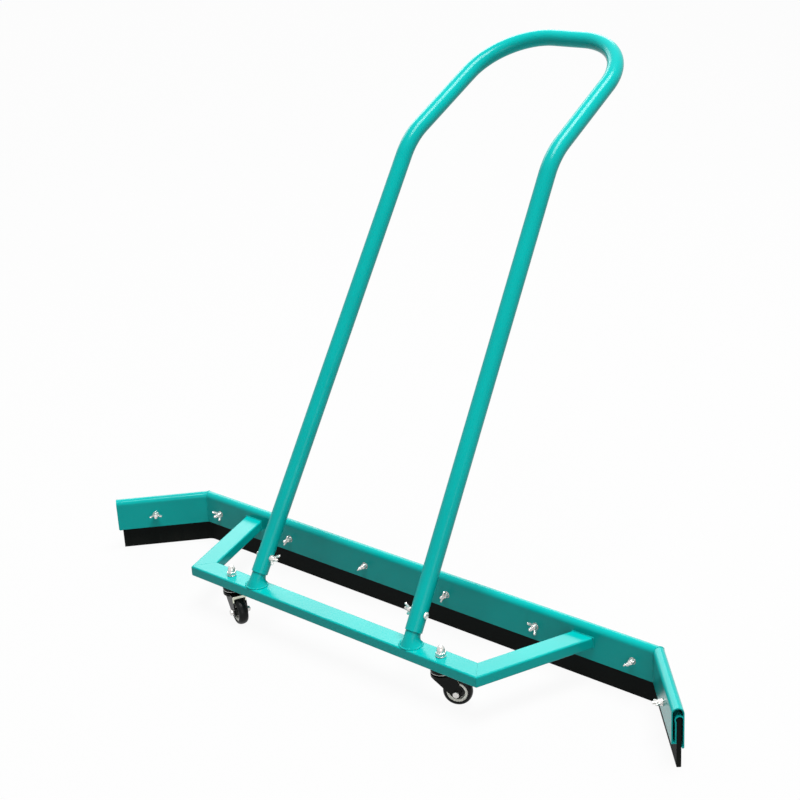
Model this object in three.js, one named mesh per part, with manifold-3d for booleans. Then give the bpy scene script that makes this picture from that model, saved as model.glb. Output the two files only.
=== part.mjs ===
// A court squeegee: a long clamped rubber blade with two angled end wings, pushed on two small
// swivel casters by a bent tube handle. Millimetres. +X runs along the blade, +Y points back
// towards the person who pushes, +Z is up. The origin is on the ground, at the middle of the
// blade's wiping edge. Inside this file, Y is laid out from the front face of the blade holder.

import * as THREE from "three";
import { mergeVertices } from "three/addons/utils/BufferGeometryUtils.js";
import Module from "manifold-3d";

const wasm = await Module();
wasm.setup();

// Blade holder: an aluminium section with a hollow chamber in front and a slot behind it.
const mainHolderLength = 1060;
const wingLength = 180;
const wingAngle = THREE.MathUtils.degToRad(48);
const holderDepth = 20;
const holderHeight = 62;
const holderWall = 2;
const holderGroundClearance = 42;
const backWallDrop = 9;
const chamberDepth = 7.9;
const keyholeRadius = 5.6;
const keyholeBelowTop = 21;

// Rubber strip that wipes the court, bent round both corners.
const rubberThickness = 7.4;
const rubberHeight = 86;
const rubberLeftInset = 7;
const rubberRightInset = 0.5;
const rubberInnerBend = 16;
const rubberEdgeRound = 1.2;

// Support frame of rectangular tube.
const frameReach = 214;
const frontHalfWidth = 338;
const armInset = 115.5;
const frameTubeWidth = 40;
const frameTubeHeight = 20;
const frameTubeWall = 2;
const frameTubeCorner = 3;

// Push handle of round tube, and the sockets that its legs slide over.
const handleTubeRadius = 15;
const handleTubeWall = 1.6;
const legFootHalfSpacing = 184;
const legBendHalfSpacing = 160.3;
const loopHalfSpacing = 151.7;
const legLength = 857;
const upperLegLength = 310;
const legLean = THREE.MathUtils.degToRad(32);
const upperLegLean = THREE.MathUtils.degToRad(62);
const legFootForward = 3.7;
const legBendRadius = 127;
const loopCornerRadius = 122;
const legRimRise = 24;
const socketHeight = 92;
const socketWall = 2;
const socketFlareWidth = 7;
const socketFlareHeight = 15;
const handleBoltRise = 55;

// Bolts with wing nuts: six along the main holder, one on each wing, one through each leg.
const mainBladeBolts = 6;
const bladeBoltInset = 38.75;
const bladeBoltRise = 27;
const wingBoltPlace = 104;
const boltRadius = 3;
const boltHeadRadius = 6;
const boltHeadHeight = 3.6;
const boltHeadEdge = 1.2;
const bladeBoltProtrusion = 17.5;
const handleBoltProtrusion = 16;
const washerRadius = 6.2;
const washerThickness = 1.2;
const wingNutBaseRadius = 5.6;
const wingNutTopRadius = 4.6;
const wingNutHubHeight = 6;
const wingNutReach = 12.5;
const wingNutHeight = 12;
const wingNutTipRadius = 2.5;
const wingNutThickness = 2.6;

// Swivel casters under the ends of the front crossbar. Their height sets the frame's.
const casterInset = 89;
const casterTrail = 26;
const wheelRadius = 25;
const tyreWidth = 18;
const tyreThickness = 7;
const tyreCrown = 5;
const tyreTopGap = 1;
const hubRimWidth = 15;
const hubRimThickness = 4.8;
const hubWebThickness = 4;
const hubBossRadius = 6.8;
const hubSideGap = 0.5;
const sleeveWall = 1;
const axleRadius = 3;
const axleHeadFlats = 10;
const axleHeadHeight = 4.8;
const axleNutHeight = 5;
const axleProtrusion = 1.6;
const forkPlate = 2.5;
const forkInsideWidth = 21;
const forkCrownRadius = 19;
const forkFrontReach = 13;
const forkRearReach = 3.5;
const forkCheekDepth = 6;
const forkEyeRadius = 9;
const forkSkirt = 5;
const forkLip = 5;
const lowerRaceRadius = 16.2;
const lowerRaceHeight = 3;
const topRaceRadius = 19;
const topRacePlate = 2.3;
const topRaceSkirt = 4;
const topRaceRound = 1.2;
const raceSkirtGap = 0.8;
const raceBallRadius = 1.9;
const raceBallCircle = 12.5;
const ballCageThickness = 1;
const kingpinRadius = 4;
const kingpinCollarRadius = 7;
const kingpinRivetRadius = 7.5;
const kingpinRivetHeight = 2.1;
const stemRadius = 5;
const stemAboveFrame = 12;
const acornFlats = 16;
const acornFlangeRadius = 8.6;
const acornFlangeHeight = 1.5;
const acornHexHeight = 6.3;
const acornDomeRadius = 7.3;
const acornDomeHeight = 12;

// Clearances, and the overrun that carries a cutting tool past the faces it cuts.
const seatGap = 0.3;
const weldGap = 0.3;
const holeGap = 0.3;
const overrun = 5;
const weldTolerance = 0.0001;

// Numbers of facets and of balls.
const holderArcSides = 5;
const tubeArcSides = 8;
const cornerArcSides = 2;
const fastenerSides = 10;
const holeSides = 8;
const wheelSides = 20;
const crownSides = 6;
const domeSides = 3;
const bendSteps = 3;
const loopSteps = 6;
const rubberBendSteps = 5;
const flareSteps = 3;
const hexSides = 6;
const raceBalls = 6;
const ballSides = 6;
const ballRows = 3;

// How far each wing nut is turned from level, and where each caster's wheel trails.
const bladeNutTurns = [0, -35, 62, 40, 70, -50, 35, 10].map(THREE.MathUtils.degToRad);
const handleNutTurns = [25, 80].map(THREE.MathUtils.degToRad);
const casterHeadings = [-23, 27].map(THREE.MathUtils.degToRad);

// Shares that shape a piece within its own sizes.
const wingRootShare = 0.15;
const headRoundShare = 0.62;
const ballCageShare = 0.6;

const X = new THREE.Vector3(1, 0, 0);
const Y = new THREE.Vector3(0, 1, 0);
const Z = new THREE.Vector3(0, 0, 1);

const finish = (color, roughness, metalness) => () =>
  new THREE.MeshStandardMaterial({ color, roughness, metalness });
const paint = finish(0x00a39b, 0.28, 0.1);
const rubber = finish(0x161d1a, 0.75, 0);
const zinc = finish(0xc9ccc8, 0.3, 0.9);
const blackSteel = finish(0x101312, 0.35, 0.4);
const creamPlastic = finish(0xd9d6c2, 0.45, 0);

// Building solids

/** Welds a geometry's shared corners, drops collapsed triangles and turns its faces outwards. */
function closedSolid(geometry) {
  const bare = geometry.index ? geometry.toNonIndexed() : geometry.clone();
  bare.deleteAttribute("normal");
  bare.deleteAttribute("uv");
  const welded = mergeVertices(bare, weldTolerance);
  const [a, b, c] = [X, Y, Z].map((axis) => axis.clone());
  const kept = [];
  let volume = 0;
  for (let i = 0; i < welded.index.count; i += 3) {
    const [p, q, r] = [0, 1, 2].map((corner) => welded.index.getX(i + corner));
    if (p === q || q === r || r === p) continue;
    kept.push([p, q, r]);
    a.fromBufferAttribute(welded.attributes.position, p);
    b.fromBufferAttribute(welded.attributes.position, q);
    c.fromBufferAttribute(welded.attributes.position, r);
    volume += a.dot(b.cross(c));
  }
  welded.setIndex(kept.flatMap(([p, q, r]) => (volume < 0 ? [p, r, q] : [p, q, r])));
  return welded;
}

function toManifold(geometry) {
  const solid = closedSolid(geometry);
  return new wasm.Manifold(new wasm.Mesh({
    numProp: 3,
    vertProperties: new Float32Array(solid.attributes.position.array),
    triVerts: new Uint32Array(solid.index.array),
  }));
}

function fromManifold(solid) {
  const { vertProperties, triVerts } = solid.getMesh();
  const geometry = new THREE.BufferGeometry();
  geometry.setAttribute("position", new THREE.BufferAttribute(new Float32Array(vertProperties), 3));
  geometry.setIndex(Array.from(triVerts));
  return geometry;
}

/** Joins some pieces into one solid and cuts the tools out of it. */
function shaped(pieces, tools) {
  const joined = pieces.map(toManifold).reduce((whole, piece) => whole.add(piece));
  return fromManifold(tools.map(toManifold).reduce((whole, tool) => whole.subtract(tool), joined));
}

const station = (at, across, up) => ({ at, across, up });

/** Sweeps a section through stations, each a place with the directions of the section's two axes. */
function sweep(section, stations, arcSides) {
  const spans = stations.length - 1;
  const geometry = new THREE.ExtrudeGeometry(section, {
    depth: spans,
    steps: spans,
    bevelEnabled: false,
    curveSegments: arcSides,
  });
  const place = geometry.attributes.position;
  for (let i = 0; i < place.count; i += 1) {
    const { at, across, up } = stations[Math.round(place.getZ(i))];
    const point = at.clone().addScaledVector(across, place.getX(i)).addScaledVector(up, place.getY(i));
    place.setXYZ(i, point.x, point.y, point.z);
  }
  return closedSolid(geometry);
}

/** A plate with an outline in the plane of two axes, between two places along the third one. */
function plate(outline, across, up, from, to, arcSides) {
  const normal = across.clone().cross(up);
  const stations = [from, to].map((place) => station(normal.clone().multiplyScalar(place), across, up));
  return sweep(outline, stations, arcSides);
}

/** Turns a profile of [radius, height] points round the Y axis. */
function turned(profile, sides) {
  return closedSolid(new THREE.LatheGeometry(profile.map(([r, h]) => new THREE.Vector2(r, h)), sides));
}

/** A pin along the Y axis between two heights. */
function pin(radius, from, to, sides = fastenerSides) {
  return new THREE.CylinderGeometry(radius, radius, to - from, sides).translate(0, (from + to) / 2, 0);
}

/** A ring along the Y axis between two heights. */
function ring(inner, outer, from, to, sides = fastenerSides) {
  return turned([[inner, from], [outer, from], [outer, to], [inner, to], [inner, from]], sides);
}

/** Heights and radii over a quarter ellipse, from its full radius up to its crown. */
function domeProfile(radius, base, height) {
  return Array.from({ length: domeSides + 1 }, (_, i) => {
    const angle = (i / domeSides) * (Math.PI / 2);
    return i === domeSides ? [0, base + height] : [radius * Math.cos(angle), base + height * Math.sin(angle)];
  });
}

/** The angle at which a line from an outside point touches a circle, on one side or the other. */
function touchAngle(centre, radius, from, side) {
  const away = from.clone().sub(centre);
  return away.angle() + side * Math.acos(radius / away.length());
}

/** Draws a rounded rectangle into a shape or a hole. */
function roundedRectangle(path, x0, y0, x1, y1, radius) {
  path.absarc(x1 - radius, y0 + radius, radius, -Math.PI / 2, 0, false);
  path.absarc(x1 - radius, y1 - radius, radius, 0, Math.PI / 2, false);
  path.absarc(x0 + radius, y1 - radius, radius, Math.PI / 2, Math.PI, false);
  path.absarc(x0 + radius, y0 + radius, radius, Math.PI, 1.5 * Math.PI, false);
  path.closePath();
  return path;
}

/** A named mesh with a material of its own. */
function part(name, geometry, material) {
  const mesh = new THREE.Mesh(closedSolid(geometry), material());
  mesh.name = name;
  return mesh;
}

/** A group of parts, turned about Z and then placed. */
function placed(parts, x, y, z, turn) {
  const group = new THREE.Group();
  group.add(...parts);
  group.position.set(x, y, z);
  group.rotation.z = turn;
  return group;
}

// Blade holder

const mitre = wingAngle / 2;
const mitreSlope = Math.tan(mitre);
const mitreGap = weldGap / 2 / Math.cos(mitre);
const holderTop = holderGroundClearance + holderHeight;
const domeRadius = holderDepth / 2;
const domeZ = holderTop - domeRadius;
const slotFront = chamberDepth;
const rubberFront = slotFront + seatGap;
const rubberBack = rubberFront + rubberThickness;
const rubberMiddle = (rubberFront + rubberBack) / 2;
const keyholeZ = holderTop - keyholeBelowTop;
const bladeBoltZ = holderGroundClearance + bladeBoltRise;
const cornerX = mainHolderLength / 2;
const bendCentreY = rubberFront - rubberInnerBend;
const bendCentreX = cornerX + bendCentreY * mitreSlope;

/** The holder's section in (y, z): a dome over a front chamber, and a slot and a keyhole behind. */
function holderSection() {
  const backInside = holderDepth - holderWall;
  const keyholeY = backInside - keyholeRadius;
  const lipRadius = (holderDepth - rubberBack - seatGap) / 2;
  const lipY = holderDepth - lipRadius;
  const lipMeetsWall = Math.acos((backInside - lipY) / lipRadius);
  const slotAngle = Math.PI + Math.acos((keyholeY - slotFront) / keyholeRadius);
  const section = new THREE.Shape();
  section.moveTo(0, holderGroundClearance);
  section.lineTo(0, domeZ);
  section.absarc(domeRadius, domeZ, domeRadius, Math.PI, 0, true);
  section.absarc(lipY, holderGroundClearance - backWallDrop + lipRadius, lipRadius, 0,
    lipMeetsWall - 2 * Math.PI, true);
  section.absarc(keyholeY, keyholeZ, keyholeRadius, 0, slotAngle, false);
  section.lineTo(slotFront, holderGroundClearance);
  section.closePath();

  const curl = keyholeRadius + holderWall;
  const chamberBack = chamberDepth - holderWall;
  const chamberFloor = holderGroundClearance + holderWall;
  const curlStart = Math.acos(keyholeRadius / curl);
  const curlEnd = Math.PI + Math.acos((keyholeY - chamberBack) / curl);
  const chamber = new THREE.Path();
  chamber.absarc(keyholeY, keyholeZ, curl, curlEnd, curlStart, true);
  chamber.absarc(domeRadius, domeZ, domeRadius - holderWall, 0, Math.PI, false);
  chamber.lineTo(holderWall, chamberFloor);
  chamber.lineTo(chamberBack, chamberFloor);
  chamber.closePath();
  section.holes.push(chamber);
  return section;
}

/** The six bolt places, spread evenly between two that stand at an inset from the corners. */
const bladeBoltPitch = (mainHolderLength - 2 * bladeBoltInset) / (mainBladeBolts - 1);
const mainBoltPlaces = Array.from(
  { length: mainBladeBolts },
  (_, i) => (i - (mainBladeBolts - 1) / 2) * bladeBoltPitch,
);

/** A bolt hole through the whole depth of the holder. */
function bladeBoltHole(x) {
  return pin(boltRadius + holeGap, -overrun, holderDepth + overrun, holeSides).translate(x, 0, bladeBoltZ);
}

/** The room behind the front chamber in which the rubber bends round a corner. */
function cornerRelief(side) {
  const near = rubberInnerBend - seatGap;
  const far = near + rubberThickness / 2;
  const plan = new THREE.Shape();
  plan.absarc(0, 0, far, Math.PI / 2 - wingAngle, Math.PI / 2, false);
  plan.absarc(0, 0, near, Math.PI / 2, Math.PI / 2 - wingAngle, true);
  plan.closePath();
  return plate(plan, X, Y, holderGroundClearance - overrun, rubberHeight + seatGap, rubberBendSteps)
    .rotateZ(side > 0 ? 0 : wingAngle)
    .translate(side * bendCentreX, bendCentreY, 0);
}

function mainHolder() {
  const end = cornerX - mitreGap;
  const bar = sweep(holderSection(), [-1, 1].map((side) => station(
    X.clone().multiplyScalar(side * end),
    Y.clone().addScaledVector(X, side * mitreSlope),
    Z,
  )), holderArcSides);
  const reliefs = [-1, 1].map(cornerRelief);
  return part("main_holder", shaped([bar], [...mainBoltPlaces.map(bladeBoltHole), ...reliefs]), paint);
}

/** A wing's parts lie along X from the corner's front edge, and are swung forward from there. */
function onWing(side, parts) {
  return placed(parts, side * cornerX, 0, 0, -side * wingAngle);
}

function wingHolder(name, side) {
  const bar = sweep(holderSection(), [
    station(X.clone().multiplyScalar(side * mitreGap), Y.clone().addScaledVector(X, -side * mitreSlope), Z),
    station(X.clone().multiplyScalar(side * wingLength), Y, Z),
  ], holderArcSides);
  const relief = cornerRelief(side).translate(-side * cornerX, 0, 0).rotateZ(side * wingAngle);
  return part(name, shaped([bar], [bladeBoltHole(side * wingBoltPlace), relief]), paint);
}

// Rubber

/** The strip's section in (y, z): square to the ground, with slightly rounded edges. */
function rubberSection() {
  return roundedRectangle(new THREE.Shape(), rubberFront, 0, rubberBack, rubberHeight, rubberEdgeRound);
}

/** The strip's stations on one side, from the middle of the corner bend's start to the wing's end. */
function rubberStations(side, inset) {
  const outward = (angle) => new THREE.Vector3(side * Math.sin(angle), Math.cos(angle), 0);
  const bend = Array.from({ length: rubberBendSteps + 1 }, (_, i) => {
    const across = outward((i / rubberBendSteps) * wingAngle);
    const at = new THREE.Vector3(side * bendCentreX, bendCentreY, 0).addScaledVector(across, -bendCentreY);
    return station(at, across, Z);
  });
  const tip = new THREE.Vector3(side * Math.cos(wingAngle), -Math.sin(wingAngle), 0)
    .multiplyScalar(wingLength - inset)
    .addScaledVector(X, side * cornerX);
  return [...bend, station(tip, outward(wingAngle), Z)];
}

function rubberBlade() {
  const stations = [
    ...rubberStations(-1, rubberLeftInset).reverse(),
    ...rubberStations(1, rubberRightInset),
  ];
  const wingHoles = [-1, 1].map((side) => bladeBoltHole(side * wingBoltPlace)
    .rotateZ(-side * wingAngle)
    .translate(side * cornerX, 0, 0));
  const strip = sweep(rubberSection(), stations, cornerArcSides);
  return part("rubber_blade", shaped([strip], [...mainBoltPlaces.map(bladeBoltHole), ...wingHoles]), rubber);
}

// Support frame

const crownTop = 2 * wheelRadius + tyreTopGap + forkLip;
const lowerRaceTop = crownTop + lowerRaceHeight;
const ballCentre = lowerRaceTop + seatGap + raceBallRadius;
const topRaceBottom = ballCentre + raceBallRadius + seatGap;
const topRaceTop = topRaceBottom + topRacePlate;
const frameGroundClearance = topRaceTop + seatGap;
const backHalfWidth = mainHolderLength / 2 - armInset;
const armSplay = Math.atan((backHalfWidth - frontHalfWidth) / frameReach);
const frameTop = frameGroundClearance + frameTubeHeight;
const crossbarMiddle = frameTubeWidth / 2 - frameReach;
const casterHalfSpacing = frontHalfWidth - casterInset;

/** The tube's section: across from its outer face inwards, and up from the ground. */
function frameSection() {
  const [bottom, top] = [frameGroundClearance, frameTop];
  const section = roundedRectangle(new THREE.Shape(), 0, bottom, frameTubeWidth, top, frameTubeCorner);
  section.holes.push(roundedRectangle(new THREE.Path(), frameTubeWall, bottom + frameTubeWall,
    frameTubeWidth - frameTubeWall, top - frameTubeWall, frameTubeCorner - frameTubeWall));
  return section;
}

/** The station on the mitre plane at a front corner, moved back along its own tube. */
function frameCorner(side, back) {
  const armInward = new THREE.Vector3(-side * Math.cos(armSplay), Math.sin(armSplay), 0);
  const across = armInward.clone().add(Y).divideScalar(1 + armInward.dot(Y));
  return station(new THREE.Vector3(side * frontHalfWidth, -frameReach, 0).add(back), across, Z);
}

/** How far along its tube each mitred end stands back from the mitre plane. */
const frameMitreGap = weldGap / 2 / Math.cos((Math.PI / 2 - armSplay) / 2);

function frontCrossbar() {
  const tube = sweep(frameSection(), [-1, 1].map((side) =>
    frameCorner(side, X.clone().multiplyScalar(-side * frameMitreGap))), cornerArcSides);
  const stemHoles = [-1, 1].map((side) => pin(stemRadius + holeGap, frameGroundClearance - overrun, frameTop + overrun)
    .rotateX(Math.PI / 2)
    .translate(side * casterHalfSpacing, crossbarMiddle, 0));
  return part("front_crossbar", shaped([tube], stemHoles), paint);
}

function sideArm(name, side) {
  const along = new THREE.Vector3(side * Math.sin(armSplay), Math.cos(armSplay), 0);
  const endX = side * (frontHalfWidth + (frameReach - weldGap) * Math.tan(armSplay));
  return part(name, sweep(frameSection(), [
    frameCorner(side, along.clone().multiplyScalar(frameMitreGap)),
    station(new THREE.Vector3(endX, -weldGap, 0), X.clone().multiplyScalar(-side / Math.cos(armSplay)), Z),
  ], cornerArcSides), paint);
}

// Push handle and its sockets

/** A point on the centre line of a lower leg, a distance up from its foot on the crossbar. */
function legPoint(side, rise) {
  const inwards = (legFootHalfSpacing - legBendHalfSpacing) / legLength;
  return new THREE.Vector3(
    side * (legFootHalfSpacing - inwards * rise),
    crossbarMiddle - legFootForward + rise * Math.sin(legLean),
    frameTop + rise * Math.cos(legLean),
  );
}

/** A corner of the loop at the top of the handle, before it is rounded. */
function loopCorner(side) {
  const bend = legPoint(side, legLength);
  return new THREE.Vector3(
    side * loopHalfSpacing,
    bend.y + upperLegLength * Math.sin(upperLegLean),
    bend.z + upperLegLength * Math.cos(upperLegLean),
  );
}

/** The points of an arc that rounds the corner between two straight runs. */
function roundedCorner(before, corner, after, radius, steps) {
  const back = before.clone().sub(corner).normalize();
  const ahead = after.clone().sub(corner).normalize();
  const half = back.angleTo(ahead) / 2;
  const centre = back.clone().add(ahead).normalize().multiplyScalar(radius / Math.sin(half)).add(corner);
  const spoke = back.clone().multiplyScalar(radius / Math.tan(half)).add(corner).sub(centre);
  const axis = ahead.clone().cross(back).normalize();
  return Array.from({ length: steps + 1 }, (_, i) =>
    spoke.clone().applyAxisAngle(axis, (i / steps) * (Math.PI - 2 * half)).add(centre));
}

/** Stations square to a route of points, carried along it without twisting. */
function routeStations(points) {
  const runs = points.slice(1).map((point, i) => point.clone().sub(points[i]).normalize());
  const tangents = points.map((_, i) => {
    const [before, after] = [runs[Math.max(i - 1, 0)], runs[Math.min(i, runs.length - 1)]];
    return before.clone().add(after).normalize();
  });
  const across = X.clone().projectOnPlane(tangents[0]).normalize();
  return points.map((at, i) => {
    if (i > 0) across.applyQuaternion(new THREE.Quaternion().setFromUnitVectors(tangents[i - 1], tangents[i]));
    return station(at, across.clone(), tangents[i].clone().cross(across));
  });
}

function circle(path, radius) {
  path.absarc(0, 0, radius, 0, 2 * Math.PI, false);
  return path;
}

/** A cutting tool along X at the height of a leg's cross bolt. */
function legBoltHole(side) {
  const { x, y, z } = legPoint(side, handleBoltRise);
  return pin(boltRadius + holeGap, -handleTubeRadius - overrun, handleTubeRadius + overrun, holeSides)
    .rotateZ(Math.PI / 2)
    .translate(x, y, z);
}

function pushHandle() {
  const [rims, bends, tops] = [
    [-1, 1].map((side) => legPoint(side, legRimRise)),
    [-1, 1].map((side) => legPoint(side, legLength)),
    [-1, 1].map(loopCorner),
  ];
  const route = [
    rims[0],
    ...roundedCorner(rims[0], bends[0], tops[0], legBendRadius, bendSteps),
    ...roundedCorner(bends[0], tops[0], tops[1], loopCornerRadius, loopSteps),
    ...roundedCorner(tops[0], tops[1], bends[1], loopCornerRadius, loopSteps),
    ...roundedCorner(tops[1], bends[1], rims[1], legBendRadius, bendSteps),
    rims[1],
  ];
  const section = circle(new THREE.Shape(), handleTubeRadius);
  section.holes.push(circle(new THREE.Path(), handleTubeRadius - handleTubeWall));
  const tube = sweep(section, routeStations(route), tubeArcSides);
  return part("push_handle", shaped([tube], [-1, 1].map(legBoltHole)), paint);
}

/** The flared foot of a spigot, from the width of the crossbar in to the leaning tube's own width. */
function socketFlare(side, outer) {
  const foot = legPoint(side, 0);
  const top = legPoint(side, socketFlareHeight / Math.cos(legLean));
  const leaningDepth = outer / Math.cos(legLean);
  const footDepth = (frameTubeWidth - frameTubeCorner) / 2;
  const stations = Array.from({ length: flareSteps + 1 }, (_, i) => {
    const share = i / flareSteps;
    const flare = (1 - share) ** 2;
    const at = foot.clone().lerp(top, share).addScaledVector(Y, legFootForward * flare);
    return station(at.addScaledVector(Z, seatGap),
      X.clone().multiplyScalar(outer + socketFlareWidth * flare),
      Y.clone().multiplyScalar(THREE.MathUtils.lerp(leaningDepth, footDepth, flare)));
  });
  return sweep(circle(new THREE.Shape(), 1), stations, tubeArcSides);
}

/** A spigot that leans with its leg, on a flared foot that is flat on the crossbar. */
function legSocket(name, side) {
  const outer = handleTubeRadius - handleTubeWall - seatGap;
  const foot = legPoint(side, 0);
  const lean = new THREE.Quaternion().setFromUnitVectors(Y, legPoint(side, legLength).sub(foot).normalize());
  const leaning = (geometry) => geometry.applyQuaternion(lean).translate(foot.x, foot.y, foot.z);
  const spigot = leaning(pin(outer, -2 * outer, socketHeight, 2 * tubeArcSides));
  const bore = leaning(pin(outer - socketWall, -3 * outer, socketHeight + overrun, 2 * tubeArcSides));
  const below = pin(3 * outer, -3 * outer, seatGap).rotateX(Math.PI / 2).translate(foot.x, foot.y, foot.z);
  return part(name, shaped([spigot, socketFlare(side, outer)], [bore, legBoltHole(side), below]), paint);
}

// Bolts, washers and wing nuts, all laid out along Y from the face that the washer seats on

const washerSeat = seatGap;
const nutSeat = washerSeat + washerThickness + seatGap;

/** A round-headed bolt: its head lies behind the clamped thickness, its end sticks out in front. */
function headedBolt(clamped, protrusion) {
  const seat = -clamped - seatGap;
  const headSide = boltHeadHeight * headRoundShare;
  return turned([
    [0, seat - boltHeadHeight],
    [boltHeadRadius * headRoundShare, seat - boltHeadHeight + (boltHeadHeight - headSide) / 2],
    [boltHeadRadius, seat - boltHeadEdge],
    [boltHeadRadius, seat],
    [boltRadius, seat],
    [boltRadius, protrusion],
    [0, protrusion],
  ], fastenerSides);
}

function washer() {
  return ring(boltRadius + holeGap, washerRadius, washerSeat, washerSeat + washerThickness);
}

/** The outline of one wing, from the hub out to its rounded tip. */
function wingOutline() {
  const root = (boltRadius + holeGap + wingNutTopRadius) / 2;
  const low = new THREE.Vector2(root, wingNutHubHeight * wingRootShare);
  const high = new THREE.Vector2(root, wingNutHubHeight);
  const tip = new THREE.Vector2(wingNutReach - wingNutTipRadius, wingNutHeight - wingNutTipRadius);
  const outline = new THREE.Shape();
  outline.absarc(tip.x, tip.y, wingNutTipRadius, touchAngle(tip, wingNutTipRadius, low, 1),
    touchAngle(tip, wingNutTipRadius, high, -1), false);
  outline.lineTo(high.x, high.y);
  outline.lineTo(low.x, low.y);
  outline.closePath();
  return outline;
}

function wingNut(turn) {
  const hub = turned([[0, 0], [wingNutBaseRadius, 0], [wingNutTopRadius, wingNutHubHeight], [0, wingNutHubHeight]],
    fastenerSides);
  const wing = plate(wingOutline(), X, Y, -wingNutThickness / 2, wingNutThickness / 2, domeSides);
  const bore = pin(boltRadius + holeGap, -overrun, wingNutHubHeight + overrun);
  return shaped([hub, wing, wing.clone().rotateY(Math.PI)], [bore])
    .rotateY(turn)
    .translate(0, nutSeat, 0);
}

/** A bolt with its washer and its wing nut, named by a place and a number. */
function fasteners(place, number, clamped, protrusion, turn) {
  return [
    part(`${place}_bolt_${number}`, headedBolt(clamped, protrusion), zinc),
    part(`${place}_washer_${number}`, washer(), zinc),
    part(`${place}_wing_nut_${number}`, wingNut(turn), zinc),
  ];
}

/** The eight blade bolts from left to right, with their nuts on the holder's front face. */
function bladeFasteners() {
  const last = mainBladeBolts + 2;
  const set = (number, x) => placed(
    fasteners("blade", number, holderDepth, bladeBoltProtrusion, bladeNutTurns[number - 1]),
    x, 0, bladeBoltZ, Math.PI,
  );
  return [
    onWing(-1, [set(1, -wingBoltPlace)]),
    ...mainBoltPlaces.map((x, i) => set(i + 2, x)),
    onWing(1, [set(last, wingBoltPlace)]),
  ];
}

/** The bolt through a leg and its socket, with its nut on the inner side. */
function legFasteners(side, number) {
  const { x, y, z } = legPoint(side, handleBoltRise);
  const set = fasteners("handle", number, 2 * handleTubeRadius, handleBoltProtrusion, handleNutTurns[number - 1]);
  return placed(set, x - side * handleTubeRadius, y, z, (side * Math.PI) / 2);
}

// Casters, laid out upright at the stem, with the wheel trailing towards +X

const cheekOutside = forkInsideWidth / 2 + forkPlate;
const forkEnd = casterTrail + forkRearReach;
const rimRadius = wheelRadius - tyreThickness;
const sleeveRadius = axleRadius + holeGap + sleeveWall;

/** Stands a piece that was turned about Y upright, about Z. */
const upright = (geometry) => geometry.rotateX(Math.PI / 2);

/** Stands the upright piece's turning axis where the wheel's axle is. */
const onAxle = (geometry) => geometry.translate(casterTrail, 0, wheelRadius);

function casterStem() {
  const rivetTop = crownTop - forkPlate - seatGap;
  return upright(turned([
    [0, rivetTop - kingpinRivetHeight],
    [kingpinRivetRadius, rivetTop - kingpinRivetHeight],
    [kingpinRivetRadius, rivetTop],
    [kingpinRadius, rivetTop],
    [kingpinRadius, lowerRaceTop + seatGap],
    [kingpinCollarRadius, lowerRaceTop + seatGap],
    [kingpinCollarRadius, topRaceBottom - seatGap],
    [stemRadius, topRaceBottom - seatGap],
    [stemRadius, frameTop + stemAboveFrame],
    [0, frameTop + stemAboveFrame],
  ], fastenerSides));
}

function acornNut() {
  const seat = frameTop + seatGap;
  const hexBase = seat + acornFlangeHeight;
  const domeBase = hexBase + acornHexHeight;
  const flange = pin(acornFlangeRadius, seat, hexBase, 2 * fastenerSides);
  const hex = pin(acornFlats / Math.sqrt(3), seat, domeBase, hexSides);
  const dome = turned([[0, seat], [acornDomeRadius, seat], ...domeProfile(acornDomeRadius, domeBase, acornDomeHeight)],
    fastenerSides);
  const bore = pin(stemRadius + holeGap, seat - overrun, frameTop + stemAboveFrame + seatGap);
  return upright(shaped([flange, hex, dome], [bore]));
}

function topRace() {
  const skirtInside = lowerRaceRadius + raceSkirtGap;
  const hole = stemRadius + holeGap;
  return upright(turned([
    [hole, topRaceBottom],
    [skirtInside, topRaceBottom],
    [skirtInside, topRaceBottom - topRaceSkirt],
    [topRaceRadius, topRaceBottom - topRaceSkirt],
    [topRaceRadius, topRaceTop - topRaceRound],
    [topRaceRadius - topRaceRound, topRaceTop],
    [hole, topRaceTop],
    [hole, topRaceBottom],
  ], wheelSides));
}

/** Balls held in a flat cage. */
function ballRing() {
  const halfCage = raceBallRadius * ballCageShare;
  const cage = ring(raceBallCircle - halfCage, raceBallCircle + halfCage,
    ballCentre - ballCageThickness / 2, ballCentre + ballCageThickness / 2, 2 * raceBalls);
  const balls = Array.from({ length: raceBalls }, (_, i) =>
    new THREE.SphereGeometry(raceBallRadius, ballSides, ballRows)
      .translate(raceBallCircle, ballCentre, 0)
      .rotateY((i / raceBalls) * 2 * Math.PI));
  return upright(shaped([cage, ...balls], []));
}

/** A cheek's outline in (x, z): it narrows from the crown down to a round eye at the axle. */
function cheekOutline() {
  const axle = new THREE.Vector2(casterTrail, wheelRadius);
  const front = new THREE.Vector2(-forkFrontReach, crownTop - forkCheekDepth);
  const rear = new THREE.Vector2(forkEnd, crownTop - forkCheekDepth);
  const outline = new THREE.Shape();
  outline.moveTo(front.x, crownTop);
  outline.lineTo(front.x, front.y);
  outline.absarc(axle.x, axle.y, forkEyeRadius, touchAngle(axle, forkEyeRadius, front, 1),
    touchAngle(axle, forkEyeRadius, rear, -1), false);
  outline.lineTo(rear.x, rear.y);
  outline.lineTo(rear.x, crownTop);
  outline.closePath();
  return outline;
}

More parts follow.
